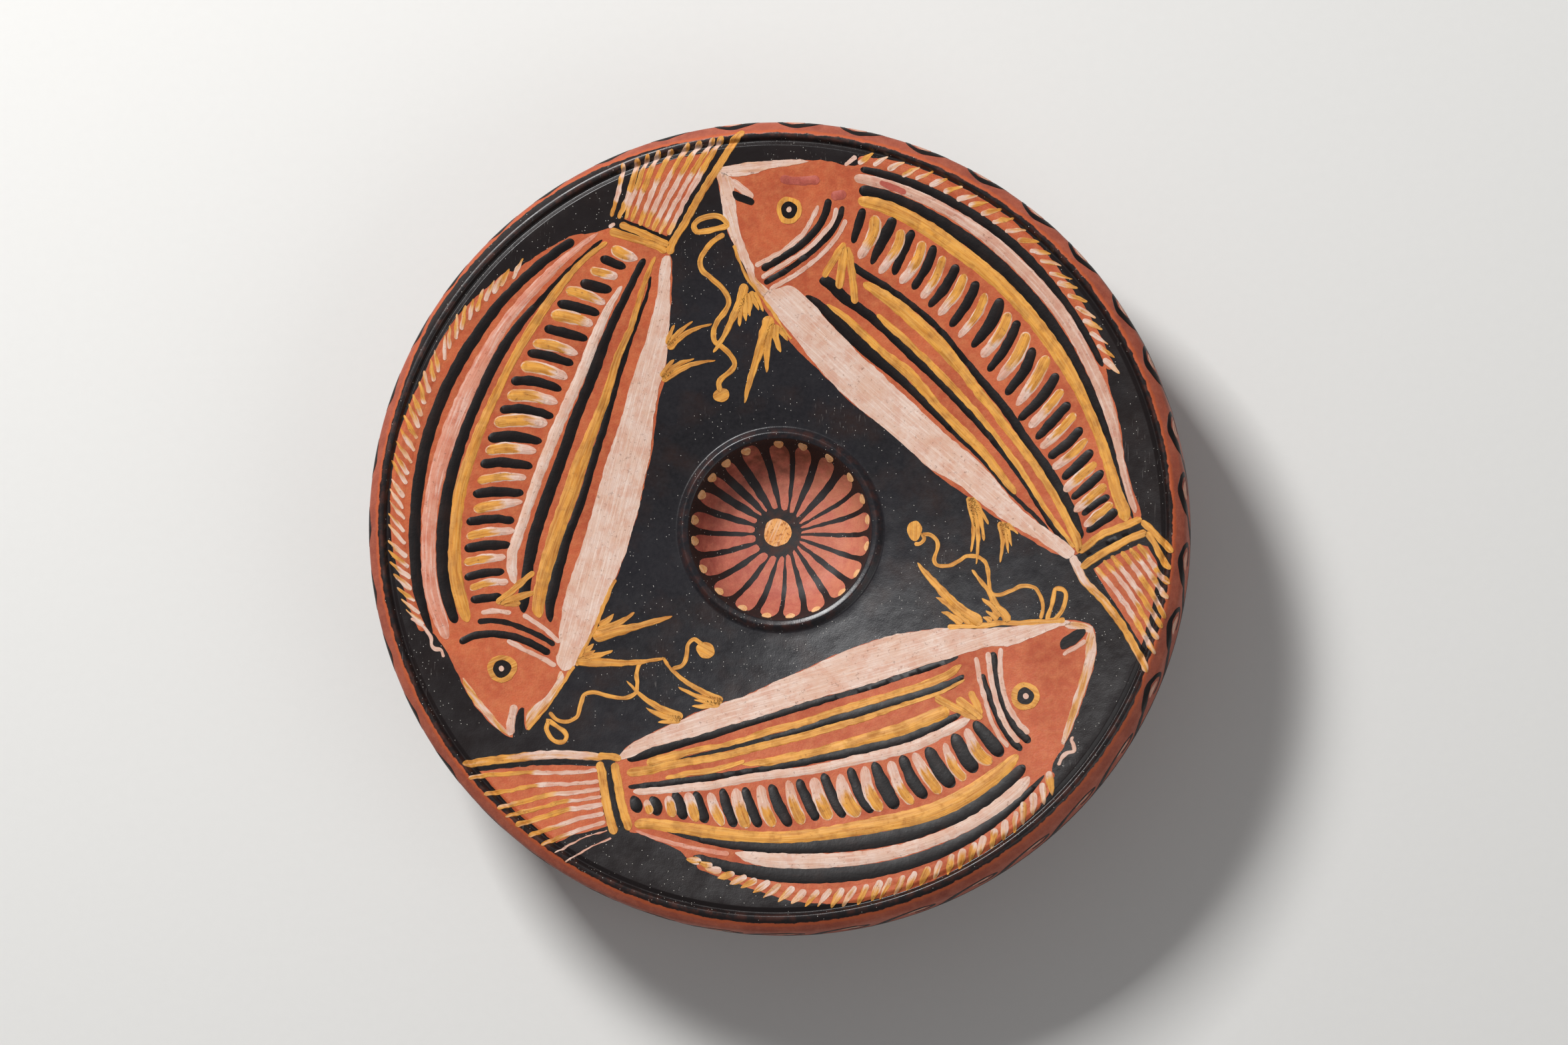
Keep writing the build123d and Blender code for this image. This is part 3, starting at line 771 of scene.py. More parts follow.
# Lower fish, head to the right
LOWER_FISH = {
    "name": "lower",
    "body": [
        (341.6, 101), (340, 103.2), (337, 105.5), (333, 106.6), (327, 108.8), (322, 110.9),
        (319, 111.6), (318, 113), (316.5, 115.2), (315, 117.3), (311, 118.3), (305, 118.6),
        (295, 118.9), (287, 118.7), (281, 118), (277, 116.8), (273, 115.5), (267, 112),
        (261, 109), (256, 106.3), (253, 103.8), (246, 103.4), (244.5, 104), (243, 101),
        (240, 96), (237, 91), (235.3, 87.5), (235.4, 82), (237, 77), (240, 71), (243, 66.2),
        (245, 63.2), (250, 58.2), (253, 55.8), (256, 54.3), (260, 51.6), (265, 48.8),
        (270, 46.6), (277, 44.7), (285, 43.2), (292, 42.5), (300, 42.8), (305, 43.6),
        (310, 45), (315, 47), (320, 50.2), (325, 55), (328.5, 59.5), (332, 67.5), (336.5, 78),
        (338.5, 83), (341.2, 92), (341.8, 96),
    ],
    "stripes": [
        ("black", [(316.8, 112, 0.6), (313, 112.3, 1.3), (305, 112.5, 2.4), (298, 112, 3.4),
                   (290, 110.8, 3.9), (280, 108.8, 5), (270, 107.1, 4.2), (263, 105.9, 3),
                   (256, 104.8, 2)]),
        ("white", [(315, 109, 2.6), (312, 109.5, 4.2), (305, 109.1, 3.8), (297, 107.8, 3.7),
                   (288, 106, 4.1), (280, 104.2, 4.5), (274, 103.2, 4.8), (267, 102.3, 4.2),
                   (263, 101.2, 1.4)]),
        ("rose", [(262, 101.8, 1.6), (254, 102.3, 1.4), (245.3, 103, 0.8)]),
        ("black", [(315.8, 105.6, 2.2), (312, 105.7, 3.3), (305, 105.5, 3.6), (299, 104.3, 3.4),
                   (292, 102.4, 4.8), (285, 100.6, 4.7), (278, 99.5, 3.5), (270, 99, 2.7),
                   (260, 98.9, 1.6), (250, 99.5, 0.5)]),
        ("ochre", [(316.3, 101.9, 2.8), (312, 101.8, 4.3), (305, 101, 5.2), (298, 99.6, 5.3),
                   (290, 97, 5), (282, 95.7, 4.3), (275, 95.6, 3.9), (267, 95.7, 3.5),
                   (260, 96, 4), (253, 97.1, 3.8), (247, 99.3, 3.4), (244.5, 101.3, 3.4)]),
        ("white", [(315, 83.2, 2), (310, 81.4, 3), (302, 79.1, 3.3), (295, 77, 3.4),
                   (287, 75.3, 2.9), (278, 75.4, 2.7), (270, 76, 2.8), (262, 78.4, 2.6),
                   (255, 82.5, 2.8), (250, 85.5, 2.5), (241.5, 92.6, 2)]),
        ("black", [(314.2, 80.3, 0.8), (310, 78.6, 2.1), (300, 75.7, 2.1), (290, 72.9, 2.1),
                   (280, 72.4, 1.8), (270, 73.7, 1.5), (260, 77.1, 1.3), (250, 83.2, 1.6),
                   (240.2, 92, 1)]),
        ("ochre", [(313, 76.8, 4.4), (307, 74.3, 4.2), (300, 72.3, 3.9), (293, 70.5, 3.5),
                   (285, 69.8, 2.8), (275, 70.6, 2.7), (268, 72.1, 2.6), (261.6, 73.9, 1.2)]),
        ("ochre", [(262, 72.6, 1.2), (255, 77.5, 1.8), (250, 80.8, 1.8), (246, 84.5, 1.2)]),
        ("ochre", [(320.5, 73.9, 0.8), (315, 71.4, 1.2), (305, 66.6, 1.5), (295, 64.4, 1.9),
                   (285, 63.7, 2.3), (275, 64.9, 2.3), (265, 67.8, 2.4), (255, 73.3, 2.4),
                   (247, 79, 2.5), (241, 85.8, 3), (238.5, 88.6, 2.4)]),
        ("black", [(321.2, 72.8, 0.9), (318.5, 72.2, 2), (314, 69.5, 2.6), (305, 65, 2),
                   (295, 62.4, 2.4), (285, 61.5, 1.7), (275, 63, 1.5), (265, 65.9, 1.1),
                   (255, 71.2, 0.9), (246.5, 77.8, 0.4)]),
        ("ochre", [(322.8, 70.3, 1.4), (319, 69, 2.6), (313, 66, 2.5), (305, 62.4, 2.3),
                   (297, 60.2, 2.3), (287, 59.2, 2.4), (277, 60.5, 2.3), (267, 63, 2.1),
                   (257, 68.5, 1.8), (250, 73, 2), (245, 77.9, 2.8), (241, 83, 3)]),
        ("black", [(324, 67.9, 0.8), (318, 63.7, 1.4), (310, 59.4, 1.2), (300, 56.4, 1.3),
                   (290, 54.9, 1.2), (280, 55.1, 1.6), (270, 57.3, 1.5), (260, 61.6, 1.5),
                   (250, 68.7, 2), (245, 73.6, 2.3), (240, 80, 2.8), (237, 85, 1.8)]),
    ],
    "belly": [
        (341, 97), (340.5, 94), (339, 90), (335.5, 84.5), (332, 79.3), (330.3, 74.7),
        (326.5, 70), (324, 67.5), (320, 64.2), (315, 60.8), (308, 57.8), (300, 55.5),
        (292, 54.2), (285, 53.7), (278, 54.3), (270, 56.3), (263, 59.1), (255, 63.4),
        (250, 67.6), (245, 72.3), (240, 78.5), (236.3, 86), (235.2, 86), (235.6, 82), (237, 77),
        (240, 71.2), (243, 66.5), (247, 61.3), (253, 56), (260, 52), (265, 49), (270, 46.7),
        (277, 44.8), (285, 43.3), (292, 42.6), (300, 42.9), (307, 44.2), (315, 47), (320, 50.2),
        (325, 55), (328.5, 59.5), (332, 67.5), (336.5, 78), (339, 84.5), (341.2, 92),
    ],
    "dark_bars": [
        (314.2, 98.6, 314.6, 92, 315, 84.8, 2.6, 2.2), (308.8, 97, 309.3, 90, 310.1, 83.2, 2.8, 2.4),
        (304.2, 96.6, 303.7, 90, 304.1, 81.7, 2.8, 2.4), (298.8, 95.2, 298.1, 88, 298.5, 79.8, 2.2, 2.1),
        (293.1, 94.2, 292.5, 87, 292.3, 78, 2.6, 2.2), (288.6, 92.7, 287.3, 86, 286.8, 77.2, 2, 1.9),
        (283.2, 91.8, 281.8, 85, 280.6, 77, 2, 1.9), (278, 91.2, 276.5, 85, 274.9, 77.8, 2, 1.9),
        (272.8, 92.3, 270.6, 86, 268.6, 79.2, 2.2, 2), (267, 92.6, 264.9, 87, 262.9, 80.7, 2, 1.9),
        (262.3, 93.3, 260.2, 88, 258.2, 82.2, 1.9, 1.8), (256.8, 93.7, 254.7, 89, 252.8, 85.2, 2.1, 1.9),
        (252.7, 94.4, 250.8, 90.5, 248.8, 87.3, 2.2, 1.9), (247.8, 96, 246.3, 93, 245, 91.5, 2.4, 1.9),
        (244.4, 97.5, 243, 95.5, 241.8, 93.8, 2.2, 1.8),
    ],
    "light_bars": [
        (311.9, 98.2, 311.4, 92, 312.9, 84.7, 2.6, 1.7, 92),
        (306.5, 97, 306.2, 91, 307.6, 83.8, 2.2, 1.2, 90.5),
        (301.5, 96.2, 301, 88, 301, 81, 2.4, 1.8, 88.8),
        (296.2, 95, 295.2, 88, 295.7, 79.8, 2.2, 1.8, 90),
        (290.3, 93.2, 289.2, 86, 290, 78.2, 2.6, 2, 87.3),
        (286, 92.7, 284.3, 86, 284.3, 78.3, 3.2, 1.8, 87),
        (280.5, 91.7, 279.3, 86, 278.2, 77.9, 2.8, 2.2, 86.5),
        (275.3, 91.9, 273.7, 86, 272.5, 78, 2.4, 1.6, 86),
        (269.7, 92.4, 267.8, 87, 266.3, 79.6, 2.4, 1.9, 88.5),
        (264.7, 93.2, 262.8, 88, 261, 81.4, 2.8, 2, 88.5),
        (260, 93.5, 257.8, 89, 255.8, 84.4, 2.2, 1.8, 91),
        (255, 94, 253.2, 90, 251.4, 86.2, 2.4, 2.1, 92),
        (250.6, 94.8, 249.3, 92, 248, 89.3, 2.2, 2, 93.3),
        (246.4, 96.6, 245.3, 94.5, 244.5, 93, 1.8, 1.7, 95.8),
    ],
    "hairs": 32,
    "hair_width": 2.2,
    "black_extra": 0.9,
    "bar_share": 1.18,
    "head_tint": 0.45,
    "hair_turns": (317.5, 257.5),
    "hair_roots": [
        (257, 105.5), (260, 106.8), (265, 108), (270, 109.8), (275, 112.3), (280, 113.3),
        (285, 113.7), (295, 114.8), (305, 114.6), (312, 113.8), (318, 112.6),
    ],
    "hair_tips": [
        (256.8, 105.8), (259, 108.3), (262, 110.3), (266, 112), (269.5, 115), (275.5, 117.5),
        (280.5, 118.8), (290, 118.9), (300, 119), (310, 118.6), (315.5, 118.2), (318, 117),
    ],
    "hair_lean": (2.2, 2.6),
    "tail_field": [
        (240.8, 105.5), (236.5, 114), (235.3, 118.4), (227, 118.4), (219.4, 117.8), (221.5, 111.5),
        (224.3, 104.5), (228, 98), (233, 91.8), (235.5, 95.8), (238, 100.5),
    ],
    "tail_strokes": [
        ("ochre", 2.4, [(244.3, 103.7), (242.5, 100.5), (240, 96), (237.5, 91.5), (235.3, 88)]),
        ("black", 1.3, [(243, 103.5), (240.5, 98.5), (237.5, 93.5), (235.2, 89.5)]),
        ("ochre", 2.4, [(242.4, 106.8), (240.5, 103.5), (238, 99), (235.5, 94.5), (232.8, 90.3)]),
        ("black", 1.0, [(241.2, 106), (239, 102), (236.5, 97.5), (233.5, 92.2)]),
        ("ochre", 2.0, [(236, 86), (234, 87), (232.5, 88.5), (231.8, 89.3)]),
        ("white", 2.4, [(233, 88.5, 2.2, 0.6), (230, 91.5, 2.6, 0.4), (226.5, 96, 2.6, 0.3),
                        (223.5, 101.5, 2.7, 0.35), (221.5, 106.5, 2.7, 0.7), (219.5, 112, 2.6, 0.9),
                        (218, 117, 2.4, 0.9), (217, 120.3, 2, 0.8)]),
        ("white", 0.6, [(242.2, 108.3, 0.7, -0.9), (240, 114, 0.5, -0.9), (238, 121.6, 0.6, 0.2)]),
        ("white", 0.6, [(241, 106.8, 0.7, -0.9), (238.5, 112, 0.5, -0.9), (236, 121, 0.6, 0.2)]),
        ("black", 0.9, [(232.5, 91), (228, 96.7), (224, 103.8), (221, 111.3), (218.7, 118)]),
    ],
    "tail_rays": [
        [(240, 104.8), (237, 111), (233.7, 121)],
        [(239, 102.8), (235.5, 109), (231.4, 121.2)],
        [(238, 100.5), (233, 109), (229, 121.2)],
        [(237, 98.8), (231.5, 108), (227, 121.2)],
        [(236, 97), (229.5, 108), (225.3, 121)],
        [(235, 95.3), (227.5, 107), (222.5, 121)],
        [(233.5, 93), (226, 104.5), (222, 112), (219.2, 121.2)],
    ],
    "ray_gold": 106.5,
    "ray_width": 1.55,
    "ray_roots": False,
    "head_whites": [
        [(341.6, 101), (340, 103.1), (337, 105.4), (333, 106.5), (328, 108.2), (322.3, 110.6),
         (322.4, 109.3), (328, 105.7), (332, 104), (336, 102.6), (339.2, 100.8)],
    ],
    "mouth": [(340.7, 99.5), (339, 99.3), (337, 96.8), (336, 94.8), (337, 93.5), (338.5, 94.5),
              (340.2, 97)],
    "head_strokes": [
        ("white", 1.2, [(339, 100.6), (337, 98.2), (335.2, 95.8)]),
        ("white", 2.2, [(340.9, 101.6, 2.2, 0.3), (341, 97, 2.2, 0.4), (340.3, 93, 1.8, 0.2)]),
        ("ochre", 1.4, [(341.3, 92.5), (339.5, 86), (337.5, 79), (336, 74), (334, 70), (331, 63.5),
                        (329.2, 60)]),
        ("white", 1.5, [(320.2, 100), (320.6, 95), (322, 89), (324.5, 84), (327.5, 80.3),
                        (331, 77.6)]),
        ("black", 2.3, [(319.2, 102), (319.5, 96), (321, 90), (323, 85), (326, 80), (329.3, 76)]),
        ("white", 1.6, [(318, 99.5), (318.5, 94), (320, 88.5), (322.5, 83), (325.5, 78.5),
                        (328.8, 74.8)]),
        ("black", 2.0, [(317.2, 101.7), (317.4, 97), (318.5, 91), (320, 86), (322, 80.5),
                        (323.8, 77)]),
        ("white", 1.3, [(316, 98), (316.5, 93), (318, 87), (320.5, 81.5), (323, 77), (326.3, 72.5)]),
        ("ochre", 2.0, [(317, 85), (318.2, 81), (319.2, 77.5)]),
        ("ochre", 2.4, [(316.6, 86), (316.3, 80), (316, 76)]),
        ("ochre", 2.2, [(316, 85), (314.8, 80), (313.5, 75), (312.6, 71)]),
        ("white", 1.1, [(324.2, 111.3), (323.6, 111.6), (323.1, 113), (322.5, 114.2), (321.6, 112.8),
                        (320.5, 112.6), (319.3, 113.2)]),
    ],
    "eye": ((325.2, 92.1), 8.8, 5.4),
    "fins": [
        (3.0, 1.4, [(336.6, 76), (338, 75), (339.5, 71), (342, 68), (344.5, 64), (347, 60.5)]),
        (2.6, 1.2, [(337.6, 73.5), (339.2, 69.5), (340.2, 66)]),
        (2.4, 1.2, [(336.6, 73), (337.2, 70.5), (337.5, 68.5)]),
        (2.2, 1.2, [(335.4, 71.5), (335.8, 70), (335.8, 68.4)]),
        (4.0, 1.4, [(334, 69), (335, 62), (337, 56), (340, 50.5), (343, 46), (345.5, 43.5)]),
        (3.2, 1.3, [(333.2, 66), (334.5, 60), (335.4, 56), (335.7, 52.5)]),
        (2.8, 1.2, [(332, 63.5), (332.4, 59.5), (332.2, 56)]),
        (2.4, 1.0, [(243, 66.4), (240.6, 68.4), (238.2, 70.3)]),
        (2.6, 1.0, [(243, 66), (238.5, 67.9), (233.5, 68.6)]),
        (2.6, 1.0, [(243.2, 65.3), (234, 66.5), (224.9, 66.2)]),
        (2.4, 1.0, [(251.5, 57), (247.5, 59.4), (244, 61)]),
        (2.4, 1.0, [(251.5, 56.8), (247.5, 58.1), (243.7, 58.9)]),
        (2.6, 1.0, [(252, 56.2), (244.5, 57.5), (237.5, 57.8)]),
        (2.2, 1.2, [(252, 55.8), (246, 55.6), (240, 55.3), (232, 54.5), (227.5, 53.3)]),
    ],
}

# Ochre tendrils between the fishes: a closed loop, a wavy stem and a drop, each
# as (width, path)
TENDRILS = {
    "upper": [
        (1.7, [(99.2, 94.3), (102, 93.8), (105, 94.2), (105.2, 96.3), (103.5, 97.8), (100.3, 97.3)]),
        (1.6, [(100, 91.8), (103, 89.8), (105.8, 86), (106.2, 83), (105, 80), (102.8, 75.5),
               (102.1, 71.5), (103.5, 69), (106.5, 66.3), (108.3, 63.5), (108.6, 60.8), (107, 58.3),
               (105.2, 55), (105, 52.5), (107, 51), (110, 50), (112.5, 48.6), (113.3, 46)]),
    ],
    "right": [
        (1.35, [(-19.5, 87.3), (-16, 87.3), (-13.5, 87), (-13.2, 89), (-14, 90.6), (-17, 90.8),
               (-19.6, 89)]),
        (1.2, [(-20, 85.3), (-17.5, 84.8), (-15, 82.5), (-14.1, 80.5), (-14.3, 77), (-16, 73.8),
               (-17.7, 70.8), (-17.8, 68.2), (-15, 66.5), (-12, 65.3), (-10, 63.8), (-9, 61),
               (-9.5, 58), (-11.5, 55.5), (-13.3, 53), (-13.8, 49.5), (-12, 48.4), (-8, 48.8),
               (-5, 48.3), (-3.4, 46.5), (-3, 43.5)]),
        (1.2, [(-2.6, 43.5), (-5, 44.4), (-6.8, 43.2), (-7, 41.5)]),
    ],
    "lower": [
        (1.4, [(219.9, 91.9), (222, 91), (224.5, 90.8), (225, 93), (223.5, 94.7), (221, 94),
               (220.2, 92.2)]),
        (1.25, [(218.8, 90), (221, 89.7), (222.7, 87.5), (223.1, 84.5), (221.8, 81.5), (220.6, 78.5),
               (221.5, 75.8), (225, 73), (228, 70), (228.9, 67), (227.5, 64.5), (225, 62),
               (224, 59.5), (224.3, 58)]),
        (1.35, [(232.5, 54.3), (234.3, 52), (234.5, 50), (233, 47.5), (231.2, 45), (232, 43),
               (236, 42.8)]),
    ],
}
TENDRIL_DROPS = {
    "upper": ((113.3, 45.1), 5.1, 4.2),
    "right": ((-1.5, 41.3), 6.0, 4.6),
    "lower": ((238.4, 43.8), 6.0, 4.8),
}

# Rosette in the well: the turn and reach of each red tongue's tip, and the width
# of the black line clockwise of it
TONGUES = [
    (91.2, 26.2, 1.7), (75.3, 26.2, 2.5), (56.2, 25.9, 2.7), (36.1, 26.0, 1.4), (20.7, 26.8, 1.5),
    (6.4, 27.2, 1.5), (349.1, 26.9, 1.7), (330.5, 27.1, 2.0), (313.3, 26.8, 2.1), (294.4, 26.8, 2.0),
    (276.8, 26.8, 1.5), (260.8, 26.7, 2.0), (243.0, 26.9, 1.9), (224.5, 26.9, 2.1),
    (205.0, 26.8, 1.9), (187.1, 26.8, 1.7), (171.6, 27.0, 2.2), (155.1, 26.7, 2.7),
    (141.4, 26.7, 2.7), (129.5, 26.8, 3.1), (114.0, 27.3, 2.3),
]

WELL_DOT = (170, 2.6)  # the cream dot sits a little off the middle
WELL_DOT_SIZE = 8.6
WELL_RING = 7.0  # mm, radius of the black ring round the dot, where the tongues start
WAVES = 39  # running waves round the wall of the rim
WAVE_FIRST_TURN = 3.1
# One wave as (mm along the rim, reach, width), from its foot over the crest into its curl
WAVE = [
    (-15, 142.6, 3.2), (-12, 138.6, 3.2), (-9.2, 133.6, 3.2), (-6.6, 129.4, 3.1), (-3.6, 126.2, 2.7),
    (-0.6, 124.7, 2.1), (2.4, 124.3, 1.7), (5.0, 125.1, 1.5), (6.6, 127.2, 1.5), (6.5, 130.0, 1.6),
    (4.9, 132.3, 1.7), (2.4, 132.8, 1.8), (0.6, 131.2, 1.8),
]
WAVE_HEART = [(-1.2, 127.1, 1.4), (1.6, 126.6, 2.3), (4.4, 127.6, 1.8)]  # pale touch in the curl
# The painter's crests sink towards the lower fish: mm lower, from and to these turns
WAVE_LEVELS = {"high": (0.0, 327, 102), "middle": (1.4, 102, 222), "low": (3.2, 222, 327)}
WAVE_BAND = (142.8, 3.0)  # reach and width of the band the waves rise from
RIM_LIP_BAND = (146.4, 1.6)
# Where the gloss of the floor ends on the rim: turns and reaches
GLOSS_END_TURNS = [-100, -62, -45, -26, -21, 12, 55, 100, 112, 122, 148, 160, 225, 260]
GLOSS_END_REACHES = [
    122.4, 122.4, 122.0, 122.0, 120.9, 120.9, 121.0, 121.1, 122.6, 124.0, 124.0, 121.6, 121.0, 122.2,
]


def colour(text):
    """An sRGB hex colour as the linear RGBA that shaders take."""
    parts = [int(text[i : i + 2], 16) / 255 for i in (1, 3, 5)]
    linear = [p / 12.92 if p <= 0.04045 else ((p + 0.055) / 1.055) ** 2.4 for p in parts]
    return (*linear, 1.0)


def node(tree, kind, inputs=None, out=None, **settings):
    """Adds one node, sets it, links or fills its inputs, and returns it or its out socket."""
    made = tree.nodes.new(kind)
    for name, value in settings.items():
        setattr(made, name, value)
    for name, value in (inputs or {}).items():
        if isinstance(value, bpy.types.NodeSocket):
            tree.links.new(value, made.inputs[name])
        else:
            made.inputs[name].default_value = value
    return made if out is None else made.outputs[out]


def per(size):
    """The scale that gives a pattern of this size in mm."""
    return 1 / (size * MM)


def start_material(name):
    """An empty material, its tree, and the place on the object that patterns follow."""
    material = bpy.data.materials.new(name)
    material.use_nodes = True
    tree = material.node_tree
    tree.nodes.clear()
    return material, tree, node(tree, "ShaderNodeTexCoord", out="Object")


def patches(tree, where, size, low=0.4, high=0.6, detail=4.0, ragged=0.55):
    """Cloudy patches of this size in mm, from 0 to 1."""
    cloud = node(
        tree,
        "ShaderNodeTexNoise",
        {"Vector": where, "Scale": per(size), "Detail": detail, "Roughness": ragged},
        out=0,
    )
    return node(tree, "ShaderNodeMapRange", {"Value": cloud, "From Min": low, "From Max": high}, out=0)


def streaks(tree, length, width, low=0.35, high=0.65):
    """Marks that brush hairs leave along a stroke, sizes in mm, from 0 to 1."""
    flow = node(tree, "ShaderNodeUVMap", out="UV", uv_map="flow")
    scale = (1 / length, 1 / width, 1.0)
    drawn = node(tree, "ShaderNodeMapping", {"Vector": flow, "Scale": scale}, out=0)
    hair = node(tree, "ShaderNodeTexNoise", {"Vector": drawn, "Scale": 1.0, "Detail": 3.0}, out=0)
    return node(tree, "ShaderNodeMapRange", {"Value": hair, "From Min": low, "From Max": high}, out=0)


def coats(tree, tone, layers):
    """Lays colours over a base, each as (where it lies from 0 to 1, strength, sRGB hex)."""
    for lies, strength, shade in layers:
        share = node(tree, "ShaderNodeMath", {0: lies, 1: strength}, out=0, operation="MULTIPLY")
        inputs = {"Factor": share, 6: tone, 7: colour(shade)}
        tone = node(tree, "ShaderNodeMix", inputs, out=2, data_type="RGBA")
    return tone


def finish_material(tree, base, roughness, height, depth, specular):
    """Joins colour, roughness and relief (depth in mm) to the surface."""
    inputs = {"Height": height, "Distance": depth * MM, "Strength": 1.0}
    bump = node(tree, "ShaderNodeBump", inputs, out="Normal")
    surface = node(
        tree,
        "ShaderNodeBsdfPrincipled",
        {
            "Base Color": base,
            "Roughness": roughness,
            "Normal": bump,
            "IOR": 1.5,
            "Specular IOR Level": specular,
        },
        out="BSDF",
    )
    node(tree, "ShaderNodeOutputMaterial", {"Surface": surface})


def gloss_parts(tree, where, more=(), dull=0.0):
    """Colour, roughness and relief of black gloss, with more coats of colour if given,
    and duller where it is worn."""
    cloudy = patches(tree, where, 40, 0.35, 0.7, detail=3)
    thin = patches(tree, where, 13, 0.5, 0.72)
    fine = patches(tree, where, 1.1, 0.3, 0.7, detail=3)
    tone = coats(
        tree,
        colour("#18171a"),
        [(cloudy, 0.8, "#222126"), (thin, 0.6, "#33211b"), (fine, 0.4, "#302d30"), *more],
    )
    # Lime specks from the ground, a fifth of a millimetre across, thicker in some places
    cells = node(tree, "ShaderNodeTexVoronoi", {"Vector": where, "Scale": per(0.9)})
    draw = node(tree, "ShaderNodeSeparateColor", {"Color": cells.outputs["Color"]}, out="Red")
    spread = patches(tree, where, 24, 0.42, 0.7)
    rare = node(tree, "ShaderNodeMapRange", {"Value": spread, "To Min": 0.9, "To Max": 0.5}, out=0)
    chosen = node(tree, "ShaderNodeMath", {0: draw, 1: rare}, out=0, operation="GREATER_THAN")
    dots = node(
        tree, "ShaderNodeMath", {0: cells.outputs["Distance"], 1: 0.125}, out=0, operation="LESS_THAN"
    )
    specks = node(tree, "ShaderNodeMath", {0: dots, 1: chosen}, out=0, operation="MULTIPLY")
    tone = coats(tree, tone, [(specks, 0.85, "#cdc8c0")])
    # Fine scratches, all much the same way, in a few places
    turned = {"Vector": where, "Rotation": (0.0, 0.0, 0.7), "Scale": (1.0, 0.07, 1.0)}
    along = node(tree, "ShaderNodeMapping", turned, out=0)
    scratches = patches(tree, along, 0.5, 0.66, 0.72, detail=2)
    handled = patches(tree, where, 26, 0.54, 0.64, detail=2)
    scratched = node(tree, "ShaderNodeMath", {0: scratches, 1: handled}, out=0, operation="MULTIPLY")
    tone = coats(tree, tone, [(scratched, 0.5, "#6a6562")])
    rubbed = patches(tree, where, 6, 0.3, 0.7)
    rough = node(tree, "ShaderNodeMapRange", {"Value": rubbed, "To Min": 0.25, "To Max": 0.37}, out=0)
    rough = node(tree, "ShaderNodeMath", {0: specks, 1: 0.3, 2: rough}, out=0, operation="MULTIPLY_ADD")
    rough = node(tree, "ShaderNodeMath", {0: dull, 1: 0.25, 2: rough}, out=0, operation="MULTIPLY_ADD")
    grit = patches(tree, where, 0.45, 0.2, 0.8, detail=5)
    swell = patches(tree, where, 5, 0.2, 0.8, detail=2)
    height = node(tree, "ShaderNodeMath", {0: grit, 1: 0.3, 2: swell}, out=0, operation="MULTIPLY_ADD")
    return tone, rough, height


def clay_parts(tree, where, light, deep, pale):
    """Colour, roughness and relief of fired red clay under a thin wash."""
    cloudy = patches(tree, where, 16, 0.35, 0.68)
    small = patches(tree, where, 2.4, 0.4, 0.75)
    grain = patches(tree, where, 0.5, 0.3, 0.7, detail=3)
    tone = coats(
        tree, colour(light), [(cloudy, 1.0, deep), (small, 0.5, pale), (grain, 0.22, "#5a2718")]
    )
    rough = node(tree, "ShaderNodeMapRange", {"Value": cloudy, "To Min": 0.5, "To Max": 0.64}, out=0)
    height = node(tree, "ShaderNodeMath", {0: grain, 1: 0.45, 2: small}, out=0, operation="MULTIPLY_ADD")
    return tone, rough, height


def black_gloss():
    """Black gloss: fine iron-rich slip, polished and fired without air.
    It is glassy but thin, so it shines softly, browns where it ran out and
    keeps fine grit."""
    material, tree, where = start_material("black_gloss_slip")
    tone, rough, height = gloss_parts(tree, where)
    finish_material(tree, tone, rough, height, 0.05, 0.4)
    return material


def gloss_over_clay():
    """The dish's whole skin: gloss on the floor and ridge, browner towards the
    rim, and bare washed clay past a ragged brushed border."""
    material, tree, where = start_material("gloss_over_red_clay")
    past = node(tree, "ShaderNodeAttribute", out="Fac", attribute_name="past_gloss")
    outer = node(tree, "ShaderNodeAttribute", out="Fac", attribute_name="outer_floor")
    rubbed = node(tree, "ShaderNodeAttribute", out="Fac", attribute_name="rubbed")
    worn = patches(tree, where, 3.0, 0.46, 0.62)
    thin = node(tree, "ShaderNodeMath", {0: rubbed, 1: worn}, out=0, operation="MULTIPLY")
    well = node(tree, "ShaderNodeAttribute", out="Fac", attribute_name="in_the_well")
    more = [(outer, 0.8, "#1b1413"), (thin, 0.5, "#552a1d"), (well, 0.6, "#1d1412")]
    tone, rough, height = gloss_parts(tree, where, more, well)
    bare, bare_rough, bare_height = clay_parts(tree, where, "#a8533b", "#8c4231", "#bb6a50")
    wave = node(
        tree, "ShaderNodeTexNoise", {"Vector": where, "Scale": per(2.6), "Detail": 4.0}, out=0
    )
    border = node(tree, "ShaderNodeMath", {0: wave, 1: 1.6, 2: past}, out=0, operation="MULTIPLY_ADD")
    share = node(
        tree, "ShaderNodeMapRange", {"Value": border, "From Min": 0.66, "From Max": 0.92}, out=0
    )
    # The wash ends in an orange line beside the gloss
    line = node(
        tree,
        "ShaderNodeMapRange",
        {"Value": border, "From Min": 1.5, "From Max": 2.3, "To Min": 1.0, "To Max": 0.0},
        out=0,
    )
    bare = coats(tree, bare, [(line, 0.8, "#b8552b")])
    inputs = {"Factor": share, 6: tone, 7: bare}
    base = node(tree, "ShaderNodeMix", inputs, out=2, data_type="RGBA")
    soft = node(tree, "ShaderNodeMix", {0: share, 2: rough, 3: bare_rough}, out=0)
    relief = node(tree, "ShaderNodeMix", {0: share, 2: height, 3: bare_height}, out=0)
    finish_material(tree, base, soft, relief, 0.05, 0.35)
    return material


